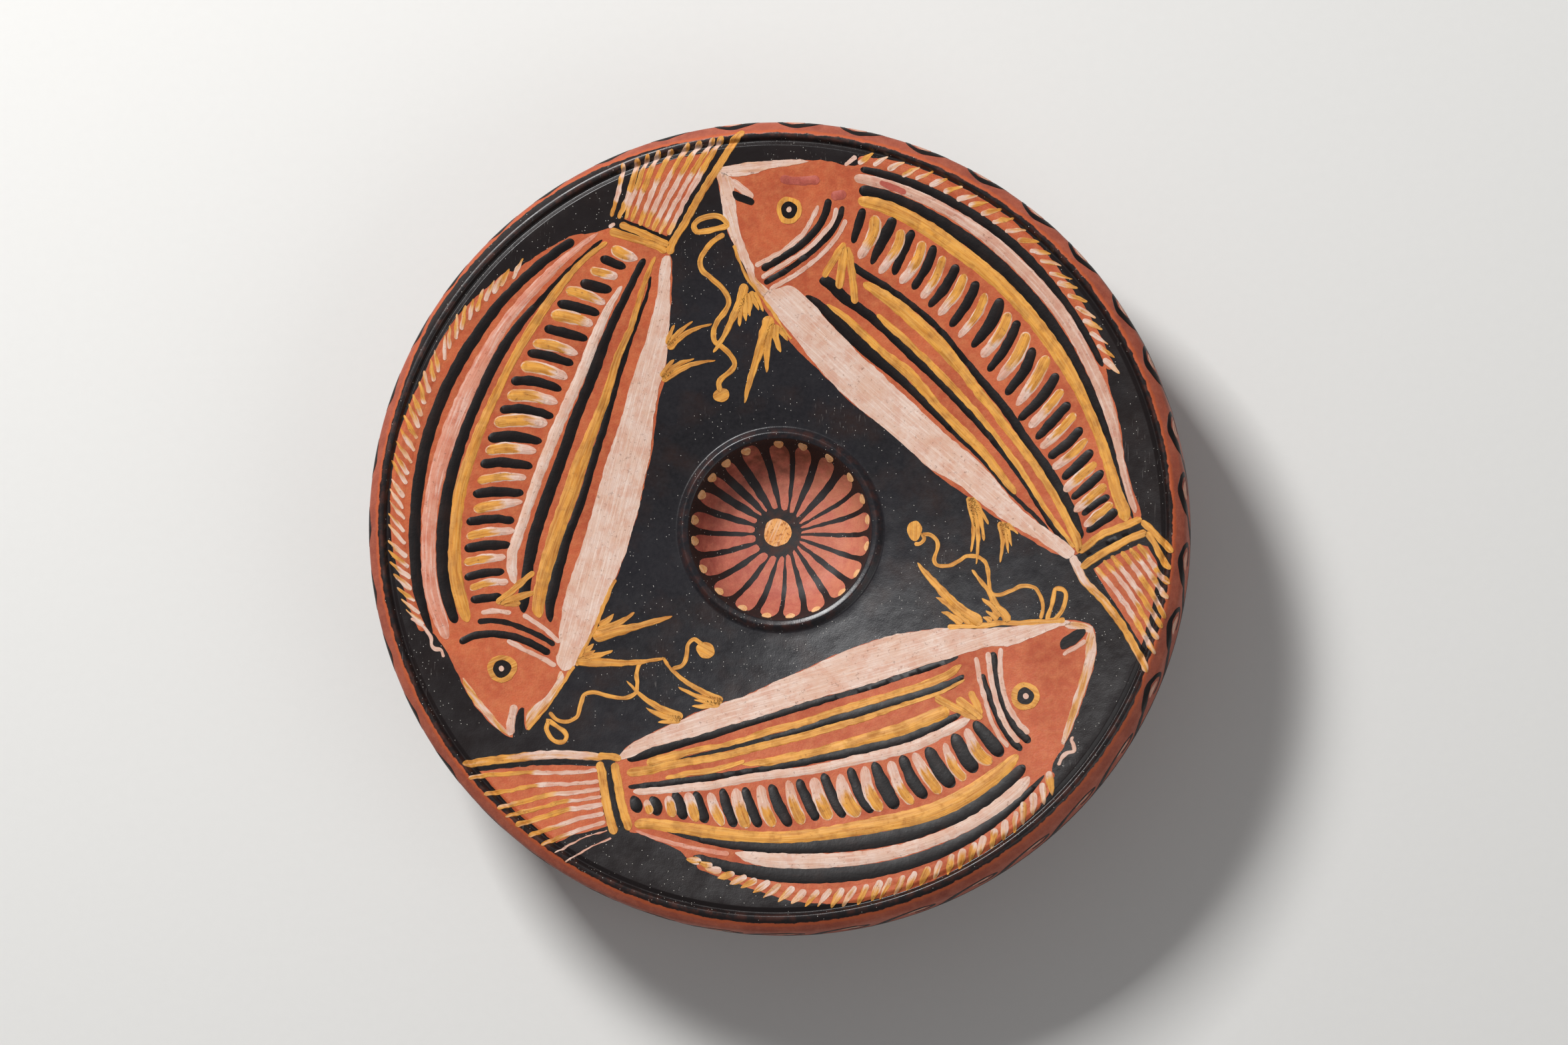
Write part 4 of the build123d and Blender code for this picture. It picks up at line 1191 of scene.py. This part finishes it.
def washed_clay(name, light, deep, pale, sides=()):
    """Reserved clay: fired red body under a thin red wash, burnished a little,
    so it is satin rather than chalky. Where sides are given, light and shade are painted into its colour:
    darker towards one side as painted shade, lighter towards another as painted light, in smudgy patches."""
    material, tree, where = start_material(name)
    tone, rough, height = clay_parts(tree, where, light, deep, pale)
    # Painted light and shade: each of the sides below darkens or lightens the colour towards one side,
    # broken into smudgy patches
    light_and_shade_patches = patches(tree, where, 3.5, 0.3, 0.62, detail=5)
    spot = node(tree, "ShaderNodeSeparateXYZ", {"Vector": where})
    for axis, first, last, strength, shade in sides:
        inputs = {"Value": spot.outputs[axis], "From Min": first * MM, "From Max": last * MM}
        side = node(tree, "ShaderNodeMapRange", inputs, out=0)
        side = node(tree, "ShaderNodeMath", {0: side, 1: light_and_shade_patches}, out=0, operation="MULTIPLY")
        tone = coats(tree, tone, [(side, strength, shade)])
    finish_material(tree, tone, rough, height, 0.05, 0.25)
    return material


def yellow_coats(tree, where, light, deep):
    """Golden ochre as it dries: streaked by the brush and darker where it pools."""
    hair = streaks(tree, 8, 0.45)
    wide = streaks(tree, 10, 1.4, 0.42, 0.6)
    pool = patches(tree, where, 4.0, 0.48, 0.64)
    tone = coats(
        tree, colour(light), [(wide, 0.85, deep), (pool, 0.65, "#96561d"), (hair, 0.4, "#e6b566")]
    )
    return tone, hair, wide, pool


def added_colour(name, white, warm, blush, speckle=0.0, light="#d8943a", deep="#b57027"):
    """Added white and yellow: pipe clay and ochre painted over the slip and fired.
    Matt and brushy, with pink where it is thin and brown where it is worn."""
    material, tree, where = start_material(name)
    yellow, hair, wide, pool = yellow_coats(tree, where, light, deep)
    cloudy = patches(tree, where, 7, 0.38, 0.66)
    worn = patches(tree, where, 1.2, 0.6, 0.68, detail=5, ragged=0.7)
    given = node(tree, "ShaderNodeAttribute", out="Fac", attribute_name="gold")
    sheer = node(
        tree, "ShaderNodeMapRange", {"Value": given, "From Min": 0.0, "From Max": -1.0}, out=0
    )
    scant = streaks(tree, 4, 0.4, 0.3, 0.62)
    bare = node(tree, "ShaderNodeMath", {0: sheer, 1: scant}, out=0, operation="MULTIPLY")
    bright = streaks(tree, 12, 0.8, 0.5, 0.66)
    freckles = patches(tree, where, 0.9, 0.55, 0.62, detail=5)
    grain = patches(tree, where, 1.0, 0.35, 0.65)
    pale = coats(
        tree,
        colour(white),
        [
            (cloudy, 0.8, warm), (pool, 0.55, blush), (hair, 0.25, blush), (bright, 0.4, "#ecdcd0"),
            (grain, 0.3, warm),
            (freckles, speckle, "#ad6a38"), (bare, 0.8, "#b8603f"),
        ],
    )
    # White and yellow meet in ragged brush marks
    uneven = node(tree, "ShaderNodeMath", {0: wide, 1: 0.5, 2: given}, out=0, operation="MULTIPLY_ADD")
    share = node(
        tree, "ShaderNodeMapRange", {"Value": uneven, "From Min": 0.5, "From Max": 1.0}, out=0
    )
    inputs = {"Factor": share, 6: pale, 7: yellow}
    tone = node(tree, "ShaderNodeMix", inputs, out=2, data_type="RGBA")
    tone = coats(tree, tone, [(worn, 0.5, "#6d4433")])
    rough = node(tree, "ShaderNodeMapRange", {"Value": cloudy, "To Min": 0.58, "To Max": 0.76}, out=0)
    height = node(tree, "ShaderNodeMath", {0: worn, 1: -0.8, 2: hair}, out=0, operation="MULTIPLY_ADD")
    finish_material(tree, tone, rough, height, 0.04, 0.22)
    return material


def golden_ochre(name, light, deep):
    """Golden ochre: a thin yellow-brown clay wash, stroked on wet.
    It pools darker in places and shows each brush hair."""
    material, tree, where = start_material(name)
    tone, hair, wide, pool = yellow_coats(tree, where, light, deep)
    worn = patches(tree, where, 1.4, 0.58, 0.68, detail=5, ragged=0.7)
    tone = coats(tree, tone, [(worn, 0.4, "#8f5820")])
    rough = node(tree, "ShaderNodeMapRange", {"Value": pool, "To Min": 0.5, "To Max": 0.66}, out=0)
    finish_material(tree, tone, rough, hair, 0.04, 0.25)
    return material


def line_black():
    """Black gloss again, laid as lines with a brush: duller, and brown at its thin places."""
    material, tree, where = start_material("black_gloss_lines")
    hair = streaks(tree, 7, 0.6, 0.5, 0.75)
    thin = patches(tree, where, 9, 0.5, 0.72)
    tone = coats(tree, colour("#120d0d"), [(thin, 0.7, "#251713"), (hair, 0.4, "#2c1b16")])
    dull = patches(tree, where, 5, 0.3, 0.7)
    rough = node(tree, "ShaderNodeMapRange", {"Value": dull, "To Min": 0.4, "To Max": 0.52}, out=0)
    # it crinkled as it dried
    crinkle = patches(tree, where, 1.1, 0.25, 0.75, detail=3)
    finish_material(tree, tone, rough, crinkle, 0.025, 0.2)
    return material


def pale_floor():
    """Matt studio paper: smooth, pale and even."""
    material, tree, where = start_material("pale_studio_paper")
    fibre = patches(tree, where, 3, 0.2, 0.8)
    tone = coats(tree, colour("#d9d8d5"), [(fibre, 0.15, "#cfcecb")])
    rough = node(tree, "ShaderNodeMapRange", {"Value": fibre, "To Min": 0.82, "To Max": 0.9}, out=0)
    finish_material(tree, tone, rough, fibre, 0.02, 0.2)
    return material


GLOSS = black_gloss()
DISH_SKIN = gloss_over_clay()
FISH_CLAY = washed_clay("washed_red_clay", "#c4603a", "#aa4c2d", "#cf7e50")
# The rosette's clay is painted darker towards the top of the well and towards its left, as painted shade,
# and lighter towards its right, as painted light
ROSETTE_CLAY = washed_clay(
    "rose_washed_clay",
    "#c97460",
    "#b05d4e",
    "#d28a6c",
    [("Y", 3, 23, 0.8, "#5e3728"), ("X", 4, 22, 0.5, "#cf8a66"), ("X", -8, -24, 0.65, "#843a35")],
)
BLUSH_CLAY = washed_clay("purplish_washed_clay", "#b4594b", "#a34c41", "#c06853")
BARE_CLAY = washed_clay("bare_fired_clay", "#bb6a48", "#a5583a", "#cd8861")
LINE_BLACK = line_black()
ADDED_WHITE = added_colour("added_white_pipeclay", "#d9c0b2", "#cfa68e", "#c48c75")
ADDED_BLUSH = added_colour("blushed_white_pipeclay", "#d0aa95", "#c29079", "#b06e5c")
ADDED_ROSE = added_colour("thin_rose_white", "#d39a83", "#ca8066", "#b9624a")
CREAM = added_colour("cream_dots", "#eec595", "#e2a668", "#cb8549", speckle=0.45)
DOT_CREAM = added_colour("middle_dot_cream", "#eab070", "#d98f48", "#c67a3c", speckle=0.9)
OCHRE = golden_ochre("golden_ochre_wash", "#da963c", "#b87429")
DEEP_OCHRE = golden_ochre("deep_ochre_wash", "#d08a34", "#a86322")


def give_mesh(name, points, faces, materials, flow=None, attributes=None, recalculate=True):
    """Makes a named piece from points in metres."""
    mesh = bpy.data.meshes.new(name)
    mesh.from_pydata([tuple(p) for p in points], [], faces)
    for material in materials:
        mesh.materials.append(material)
    if flow:
        layer = mesh.uv_layers.new(name="flow")
        for loop in mesh.loops:
            layer.data[loop.index].uv = flow[loop.vertex_index]
    for key, values in (attributes or {}).items():
        store = mesh.attributes.new(key, "FLOAT", "POINT")
        store.data.foreach_set("value", values)
    if recalculate:
        shell = bmesh.new()
        shell.from_mesh(mesh)
        bmesh.ops.recalc_face_normals(shell, faces=shell.faces)
        shell.to_mesh(mesh)
        shell.free()
    mesh.shade_smooth()
    mesh.set_sharp_from_angle(angle=math.radians(35))
    piece = bpy.data.objects.new(name, mesh)
    bpy.context.scene.collection.objects.link(piece)
    return piece


def hang(piece, replaced=None):
    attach(piece, "root")
    if replaced:
        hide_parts(replaced)
    return piece


def painted_piece(name, paint, material):
    piece = give_mesh(
        name, paint.points, paint.faces, [material], paint.flow, {"gold": paint.gold}
    )
    return hang(piece)


def rubbed_at(reach):
    """How far hands and feet of other pots wore the gloss: on the ridge, the bead
    round the well and the middle of the well."""
    ridge = max(0.0, 1 - abs(reach - 120.4) / 1.6)
    bead = max(0.0, 0.8 - abs(reach - 30.0) / 2.5)
    return max(ridge, bead, 1.6 * (1 - smooth(7.5, 11.5, reach)))


def make_dish():
    """Turns the section round the axis, with the plate's warp."""
    points, faces, past, rubbed, outer, well = [], [], [], [], [], []
    rings = []
    for index, spot in enumerate(dish_line):
        painted = index < PAINTED_POINTS
        ring = []
        for k in range(1 if spot.x < 1e-6 else DISH_FACETS):
            turn = 360 * k / DISH_FACETS
            ring.append(len(points))
            points.append(warped(spot.x, spot.y, turn, 1.0 if painted else 0.0))
            border = between((turn + 100) % 360 - 100, GLOSS_END_TURNS, GLOSS_END_REACHES)
            past.append(reaches[index] - border if painted else 8.0)
            rubbed.append(rubbed_at(reaches[index]) if painted else 0.0)
            outer.append(smooth(66, 112, reaches[index]))
            well.append(1 - smooth(27.4, 28.4, reaches[index]))
        rings.append(ring)
    for here, there in zip(rings, rings[1:]):
        for k in range(DISH_FACETS):
            n = (k + 1) % DISH_FACETS
            if len(here) == 1:
                faces.append((here[0], there[k], there[n]))
            elif len(there) == 1:
                faces.append((here[n], here[k], there[0]))
            else:
                faces.append((here[k], there[k], there[n], here[n]))
    attributes = {"past_gloss": past, "rubbed": rubbed, "outer_floor": outer, "in_the_well": well}
    return give_mesh("dish_body", points, faces, [DISH_SKIN], None, attributes)


hang(make_dish(), "dish")


def bar(paint, stations, widest, narrowest, tints=(0, 0, 0), lift=None):
    """A short stroke through three (turn, reach) places, fullest in its middle."""
    full = max(widest, narrowest) * 1.12
    widths = (widest, full, narrowest)
    brush(paint, [(*s, w, t) for s, w, t in zip(stations, widths, tints)], lift=lift)


def light_bar(white, places, widest, narrowest, gold):
    """White, sheer at its foot, and over its top half ochre that stays inside its edge."""
    bar(white, places, widest, narrowest, (0.65, 0.2, -0.6))
    top, middle, foot = places
    over = []
    end = max(gold - 3.6, foot[1] + 1.0)
    for share, wide, tint in ((0, 0.88, 1.0), (0.5, 0.94, 1.0), (1, 0.8, 0.2)):
        reach = top[1] - 0.35 + (end - top[1] + 0.35) * share
        turn = between(reach, (foot[1], middle[1], top[1]), (foot[0], middle[0], top[0]))
        over.append((turn, reach, widest * wide, tint))
    brush(white, over, lift=0.13)


def tail_ray(fish, white, path, chance):
    """One ray of the tail: pale, yellow at its root and outside, and on over the ridge."""
    wide = fish["ray_width"] * chance.uniform(0.85, 1.1)
    root = path[0][1]
    outer = fish["ray_gold"] + chance.uniform(-2.0, 2.0)
    first, groove = (0.8, 0.2) if fish["ray_roots"] else (-0.3, 0.75)
    stations = []
    for reach, share, tint in (
        (root, 0.85, first), (root + 2.6, 0.9, first), (root + 5.2, 0.9, -0.4), (outer - 1.5, 0.95, -0.3),
        (outer + 2.0, 1.0, 0.9), (116.6, 1.0, 0.9), (118.4, 0.85, groove), (119.9, 0.95, 0.7),
        (path[-1][1] + 0.4, 0.8, chance.uniform(0.5, 0.9)),
    ):
        if not stations or reach > stations[-1][1] + 0.3:
            turn = between(reach, [p[1] for p in path], [p[0] for p in path])
            stations.append((turn, reach, wide * share, tint))
    brush(white, stations)


def paint_fish(fish, rose_paint, ochre_paint):
    """Paints one fish: reserved body, black lines, added white and golden ochre."""
    seed = len(fish["name"]) * 3
    clay = Paint(0.03, rag=0.35, seed=seed)
    black = Paint(0.07, rag=0.28, seed=seed + 1)
    white = Paint(0.11, rag=0.35, seed=seed + 2)
    rose = Paint(0.09, rag=0.4, seed=seed + 3)
    ochre = Paint(0.14, rag=0.35, seed=seed + 4)
    blush = Paint(0.12, rag=0.4, seed=seed + 5)
    pots = {"black": black, "white": white, "rose": rose, "ochre": ochre, "blush": blush}
    field(clay, fish["body"])
    field(clay, fish["tail_field"], curved=False, lift=0.035)
    brush(clay, [(t, r + 0.9, 2.6) for t, r in fish["hair_roots"]], lift=0.05)
    for name, path in fish["stripes"]:
        # the thinner black lines were laid a little wider than the colour beside them leaves bare
        extra = fish["black_extra"] if name == "black" else 0.0
        fuller = []
        for turn, reach, wide in path:
            fuller.append((turn, reach, wide + extra * min(1, wide / 1.6, max(0, (5 - wide) / 2))))
        brush(pots[name], fuller)
    field(white, fish["belly"])
    share = fish["bar_share"]
    for t0, r0, t1, r1, t2, r2, w0, w1 in fish["dark_bars"]:
        bar(black, ((t0, r0), (t1, r1), (t2, r2)), w0 * 1.3 * share, w1 * 1.2 * share, lift=0.08)
    for t0, r0, t1, r1, t2, r2, w0, w1, gold in fish["light_bars"]:
        light_bar(white, ((t0, r0), (t1, r1), (t2, r2)), w0 * 1.15 * share, w1 * 1.2 * share, gold)
    chance = random.Random(seed)
    first, last = fish["hair_turns"]
    least, most = fish["hair_lean"]
    for k in range(fish["hairs"]):
        share = k / (fish["hairs"] - 1)
        turn = first + (last - first) * share + chance.uniform(-0.2, 0.2)
        root = between(turn, *zip(*fish["hair_roots"])) + chance.uniform(-0.3, 0.3)
        lean = (least + (most - least) * share) * chance.uniform(0.9, 1.1)
        tip = between(turn - lean, *zip(*fish["hair_tips"])) + chance.uniform(-0.2, 0.4)
        wide = fish["hair_width"] * chance.uniform(0.8, 1.15)
        path = [
            (turn, root - 0.2, wide * 0.85, chance.uniform(-0.2, 0.4)),
            (turn - lean * 0.45, root + (tip - root) * 0.42, wide, chance.uniform(0.3, 0.9)),
            (turn - lean, tip, wide * 0.3, chance.uniform(0.6, 1.0)),
        ]
        brush(white, path, lift=0.12, blunt=0.4)
    for name, width, path in fish["tail_strokes"]:
        brush(pots[name], path, width=width * 1.1, lift=0.05 if name == "black" else None)
    for path in fish["tail_rays"]:
        tail_ray(fish, white, path, chance)
    for outline in fish["head_whites"]:
        field(white, outline, step=0.9, grid=2.0, lift=0.1, tint=fish["head_tint"])
    field(black, fish["mouth"], step=0.6, grid=1.5, lift=0.13)
    for name, width, path in fish["head_strokes"]:
        brush(pots[name], path, width=width * 1.1, tint=-0.3 if name == "white" else 0.0)
    centre, ring, pupil = fish["eye"]
    disc(ochre, centre, ring * 0.95, ring)
    disc(black, centre, pupil * 0.95, pupil, lift=0.18)
    disc(white, (centre[0], centre[1] + 0.2), 1.7, 1.7, lift=0.22)
    for start, end, path in fish["fins"]:
        end *= 0.6
        widths = [start + (end - start) * k / (len(path) - 1) for k in range(len(path))]
        brush(ochre, [(t, r, w) for (t, r), w in zip(path, widths)])
    name = fish["name"]
    painted_piece(f"fish_{name}_body", clay, FISH_CLAY)
    painted_piece(f"fish_{name}_black_lines", black, LINE_BLACK)
    painted_piece(f"fish_{name}_added_white", white, ADDED_WHITE)
    painted_piece(f"fish_{name}_rose_band", rose, rose_paint)
    if blush.points:
        painted_piece(f"fish_{name}_blush", blush, BLUSH_CLAY)
    painted_piece(f"fish_{name}_golden_ochre", ochre, ochre_paint)


paint_fish(RIGHT_FISH, ADDED_BLUSH, OCHRE)
paint_fish(LEFT_FISH, ADDED_ROSE, DEEP_OCHRE)
paint_fish(LOWER_FISH, ADDED_ROSE, OCHRE)

for name, paths in TENDRILS.items():
    paint = Paint(0.12, rag=0.25, seed=len(name) * 7)
    for index, (width, path) in enumerate(paths):
        brush(paint, path, width=width, closed=index == 0)
    disc(paint, *TENDRIL_DROPS[name])
    painted_piece(f"tendril_{name}", paint, OCHRE)


def paint_rosette():
    """Red tongues that run down the wall of the well, parted by black lines."""
    red = Paint(0.03, rag=0.24, seed=5)
    dot_turn, dot_reach = WELL_DOT
    for index, (turn, tip, line) in enumerate(TONGUES):
        before_turn, _, before_line = TONGUES[index - 1]
        after_turn = TONGUES[(index + 1) % len(TONGUES)][0]
        start = WELL_RING + 0.2 + dot_reach * math.cos(math.radians(turn - dot_turn))
        sides = []
        for way, pitch, gap in (
            (1, (before_turn - turn) % 360, before_line),
            (-1, (turn - after_turn) % 360, line),
        ):
            edge = []
            for reach, wide in (
                (tip, gap + 2.4), (tip - 0.9, gap + 0.7), (tip - 2.6, gap), (17, gap * 0.92),
                (13, gap * 0.8), (start, gap * 0.55),
            ):
                half = pitch / 2 - math.degrees(wide / 2 / reach)
                edge.append((turn + way * max(pitch * 0.12, half), reach))
            sides.append(edge)
        crown = (turn, tip + 0.5)
        field(red, [crown, *sides[0], *reversed(sides[1])], step=0.9, grid=1.7)
    painted_piece("well_rosette_tongues", red, ROSETTE_CLAY)


paint_rosette()


def join_socket(tree, name, kind, value=None, way="INPUT"):
    """Adds a named input or output to a geometry tree."""
    socket = tree.interface.new_socket(name, in_out=way, socket_type=kind)
    if value is not None:
        socket.default_value = value


def ring_tree():
    """Sets one painted shape round the axis at the turns that the points carry."""
    tree = bpy.data.node_groups.new("painted_round_the_axis", "GeometryNodeTree")
    join_socket(tree, "Geometry", "NodeSocketGeometry", way="OUTPUT")
    join_socket(tree, "Points", "NodeSocketGeometry")
    join_socket(tree, "Shape", "NodeSocketObject")
    join_socket(tree, "Turn wander", "NodeSocketFloat", 0.0)
    join_socket(tree, "Seed", "NodeSocketInt", 3)
    join_socket(tree, "Material", "NodeSocketMaterial")
    given = node(tree, "NodeGroupInput").outputs
    shape = node(tree, "GeometryNodeObjectInfo", {"Object": given["Shape"]}, out="Geometry")
    turn = node(tree, "GeometryNodeInputNamedAttribute", {"Name": "turn"}, out=0, data_type="FLOAT")
    least = node(tree, "ShaderNodeMath", {0: given["Turn wander"], 1: -1.0}, out=0, operation="MULTIPLY")
    wander = node(
        tree,
        "FunctionNodeRandomValue",
        {"Min": least, "Max": given["Turn wander"], "Seed": given["Seed"]},
        out="Value",
        data_type="FLOAT",
    )
    total = node(tree, "ShaderNodeMath", {0: turn, 1: wander}, out=0, operation="ADD")
    about = node(tree, "ShaderNodeCombineXYZ", {"Z": total}, out=0)
    inputs = {"Points": given["Points"], "Instance": shape, "Rotation": about}
    copies = node(tree, "GeometryNodeInstanceOnPoints", inputs, out="Instances")
    real = node(tree, "GeometryNodeRealizeInstances", {"Geometry": copies}, out="Geometry")
    inputs = {"Geometry": real, "Material": given["Material"]}
    dressed = node(tree, "GeometryNodeSetMaterial", inputs, out="Geometry")
    node(tree, "NodeGroupOutput", {"Geometry": dressed})
    return tree


RING_TREE = ring_tree()


def oval_share(x, y):
    """How far the plate's oval stretches this place."""
    return 1 + OVAL * math.cos(2 * (math.atan2(y, x) - math.radians(OVAL_TURN)))


def set_round(name, paint, turns, wander, seed, material):
    """Repeats what is painted at turn 0 at these turns, and keeps the plain mesh."""
    # the oval is taken out before the shape is repeated, and given back after
    plain = []
    for point in paint.points:
        share = oval_share(point.x, point.y)
        plain.append((point.x / share, point.y / share, point.z))
    shape = give_mesh(
        name + "_shape", plain, paint.faces, [material], paint.flow, {"gold": paint.gold}
    )
    points = bpy.data.meshes.new(name + "_points")
    points.from_pydata([(0, 0, 0)] * len(turns), [], [])
    store = points.attributes.new("turn", "FLOAT", "POINT")
    store.data.foreach_set("value", [math.radians(turn) for turn in turns])
    carrier = bpy.data.objects.new(name + "_points", points)
    bpy.context.scene.collection.objects.link(carrier)
    modifier = carrier.modifiers.new("round", "NODES")
    modifier.node_group = RING_TREE
    values = {
        "Shape": shape,
        "Turn wander": math.radians(wander),
        "Seed": seed,
        "Material": material,
    }
    for socket in RING_TREE.interface.items_tree:
        if socket.name in values and socket.in_out == "INPUT":
            modifier[socket.identifier] = values[socket.name]
    depsgraph = bpy.context.evaluated_depsgraph_get()
    mesh = bpy.data.meshes.new_from_object(
        carrier.evaluated_get(depsgraph), preserve_all_data_layers=True, depsgraph=depsgraph
    )
    carrier.modifiers.remove(modifier)
    bpy.data.objects.remove(carrier)
    bpy.data.objects.remove(shape)
    for vertex in mesh.vertices:
        share = oval_share(vertex.co.x, vertex.co.y)
        vertex.co.x *= share
        vertex.co.y *= share
    mesh.name = name
    piece = bpy.data.objects.new(name, mesh)
    bpy.context.scene.collection.objects.link(piece)
    return hang(piece)


def along_rim(stations, lower):
    """Turns mm along the rim into turns, with the crest lowered by this many mm."""
    foot, crest = 142.6, 124.5
    moved = []
    for along, reach, width in stations:
        moved.append((math.degrees(along / 125), reach + lower * (foot - reach) / (foot - crest), width))
    return moved


for level, (lower, first, last) in WAVE_LEVELS.items():
    turns = []
    for k in range(WAVES):
        turn = (WAVE_FIRST_TURN + 360 * k / WAVES) % 360
        if (turn - first) % 360 < (last - first) % 360:
            turns.append(turn)
    wave = Paint(0.08, rag=0.3, seed=11)
    brush(wave, along_rim(WAVE, lower))
    set_round(f"rim_running_waves_{level}", wave, turns, 0.5, 4, LINE_BLACK)
    heart = Paint(0.08, rag=0.2, seed=15)
    brush(heart, along_rim(WAVE_HEART, lower))
    set_round(f"rim_wave_hearts_{level}", heart, turns, 0.5, 4, ADDED_BLUSH)

tip_dot = Paint(0.1, rag=0.25, seed=12)
disc(tip_dot, (0, 26.7), 3.1, 1.9)
set_round("well_tip_dots", tip_dot, [tongue[0] for tongue in TONGUES], 1.0, 6, CREAM)

bands = Paint(0.06, rag=0.35, seed=13)
for reach, width in (WAVE_BAND, RIM_LIP_BAND):
    brush(bands, [(turn, reach, width) for turn in range(0, 360, 15)], closed=True)
painted_piece("rim_bands", bands, LINE_BLACK)

middle = Paint(0.09, rag=0.3, seed=14)
disc(middle, WELL_DOT, WELL_DOT_SIZE, WELL_DOT_SIZE)
painted_piece("well_middle_dot", middle, DOT_CREAM)

for node_name, material in (("foot", GLOSS), ("luting_slip", BARE_CLAY)):
    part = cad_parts[node_name]
    part.data.materials.clear()
    part.data.materials.append(material)

# Camera at the photograph's angle: a long lens, 2.5 m off, 10 degrees off the axis
TILT = math.radians(10)
TILT_TURN = math.radians(-40)
DISTANCE = 2.5
FOCAL_PIXELS = 12337.5
PHOTO_WIDTH = 2353
towards = Vector(
    (
        math.sin(TILT) * math.cos(TILT_TURN),
        math.sin(TILT) * math.sin(TILT_TURN),
        math.cos(TILT),
    )
)
right = Vector((0, 1, 0)).cross(towards).normalized()
up = towards.cross(right)
aim = Vector((0, 0, 57 * MM)) + right * 3.04 * MM + up * 0.61 * MM
camera_data = bpy.data.cameras.new("camera")
camera_data.sensor_width = 36
camera_data.lens = FOCAL_PIXELS / PHOTO_WIDTH * 36
camera_data.clip_start = 0.05
camera_data.clip_end = 50
camera = bpy.data.objects.new("camera", camera_data)
bpy.context.scene.collection.objects.link(camera)
camera.matrix_world = Matrix.Translation(aim + towards * DISTANCE) @ Matrix(
    (
        (right.x, up.x, towards.x, 0),
        (right.y, up.y, towards.y, 0),
        (right.z, up.z, towards.z, 0),
        (0, 0, 0, 1),
    )
)
bpy.context.scene.camera = camera


def soft_light(name, towards_light, distance, size, watts):
    """A square studio light that faces the plate."""
    data = bpy.data.lights.new(name, "AREA")
    data.shape = "SQUARE"
    data.size = size
    data.energy = watts
    light = bpy.data.objects.new(name, data)
    bpy.context.scene.collection.objects.link(light)
    way = Vector(towards_light).normalized()
    light.location = way * distance + Vector((0, 0, 0.05))
    light.rotation_mode = "QUATERNION"
    light.rotation_quaternion = way.to_track_quat("Z", "Y")


soft_light("key_light", (-0.4, 0.58, 0.74), 1.6, 0.42, 31)
soft_light("fill_light", (0.75, -0.5, 0.7), 1.8, 1.2, 6)
world = bpy.data.worlds.new("studio")
world.use_nodes = True
world.node_tree.nodes["Background"].inputs["Color"].default_value = colour("#e9e9ec")
world.node_tree.nodes["Background"].inputs["Strength"].default_value = 0.22
bpy.context.scene.world = world
bpy.context.scene.view_settings.view_transform = "Standard"

floor = give_mesh(
    "studio_floor",
    [Vector((x, y, 0)) for x, y in ((-6, -6), (6, -6), (6, 6), (-6, 6))],
    [(0, 1, 2, 3)],
    [pale_floor()],
    recalculate=False,
)
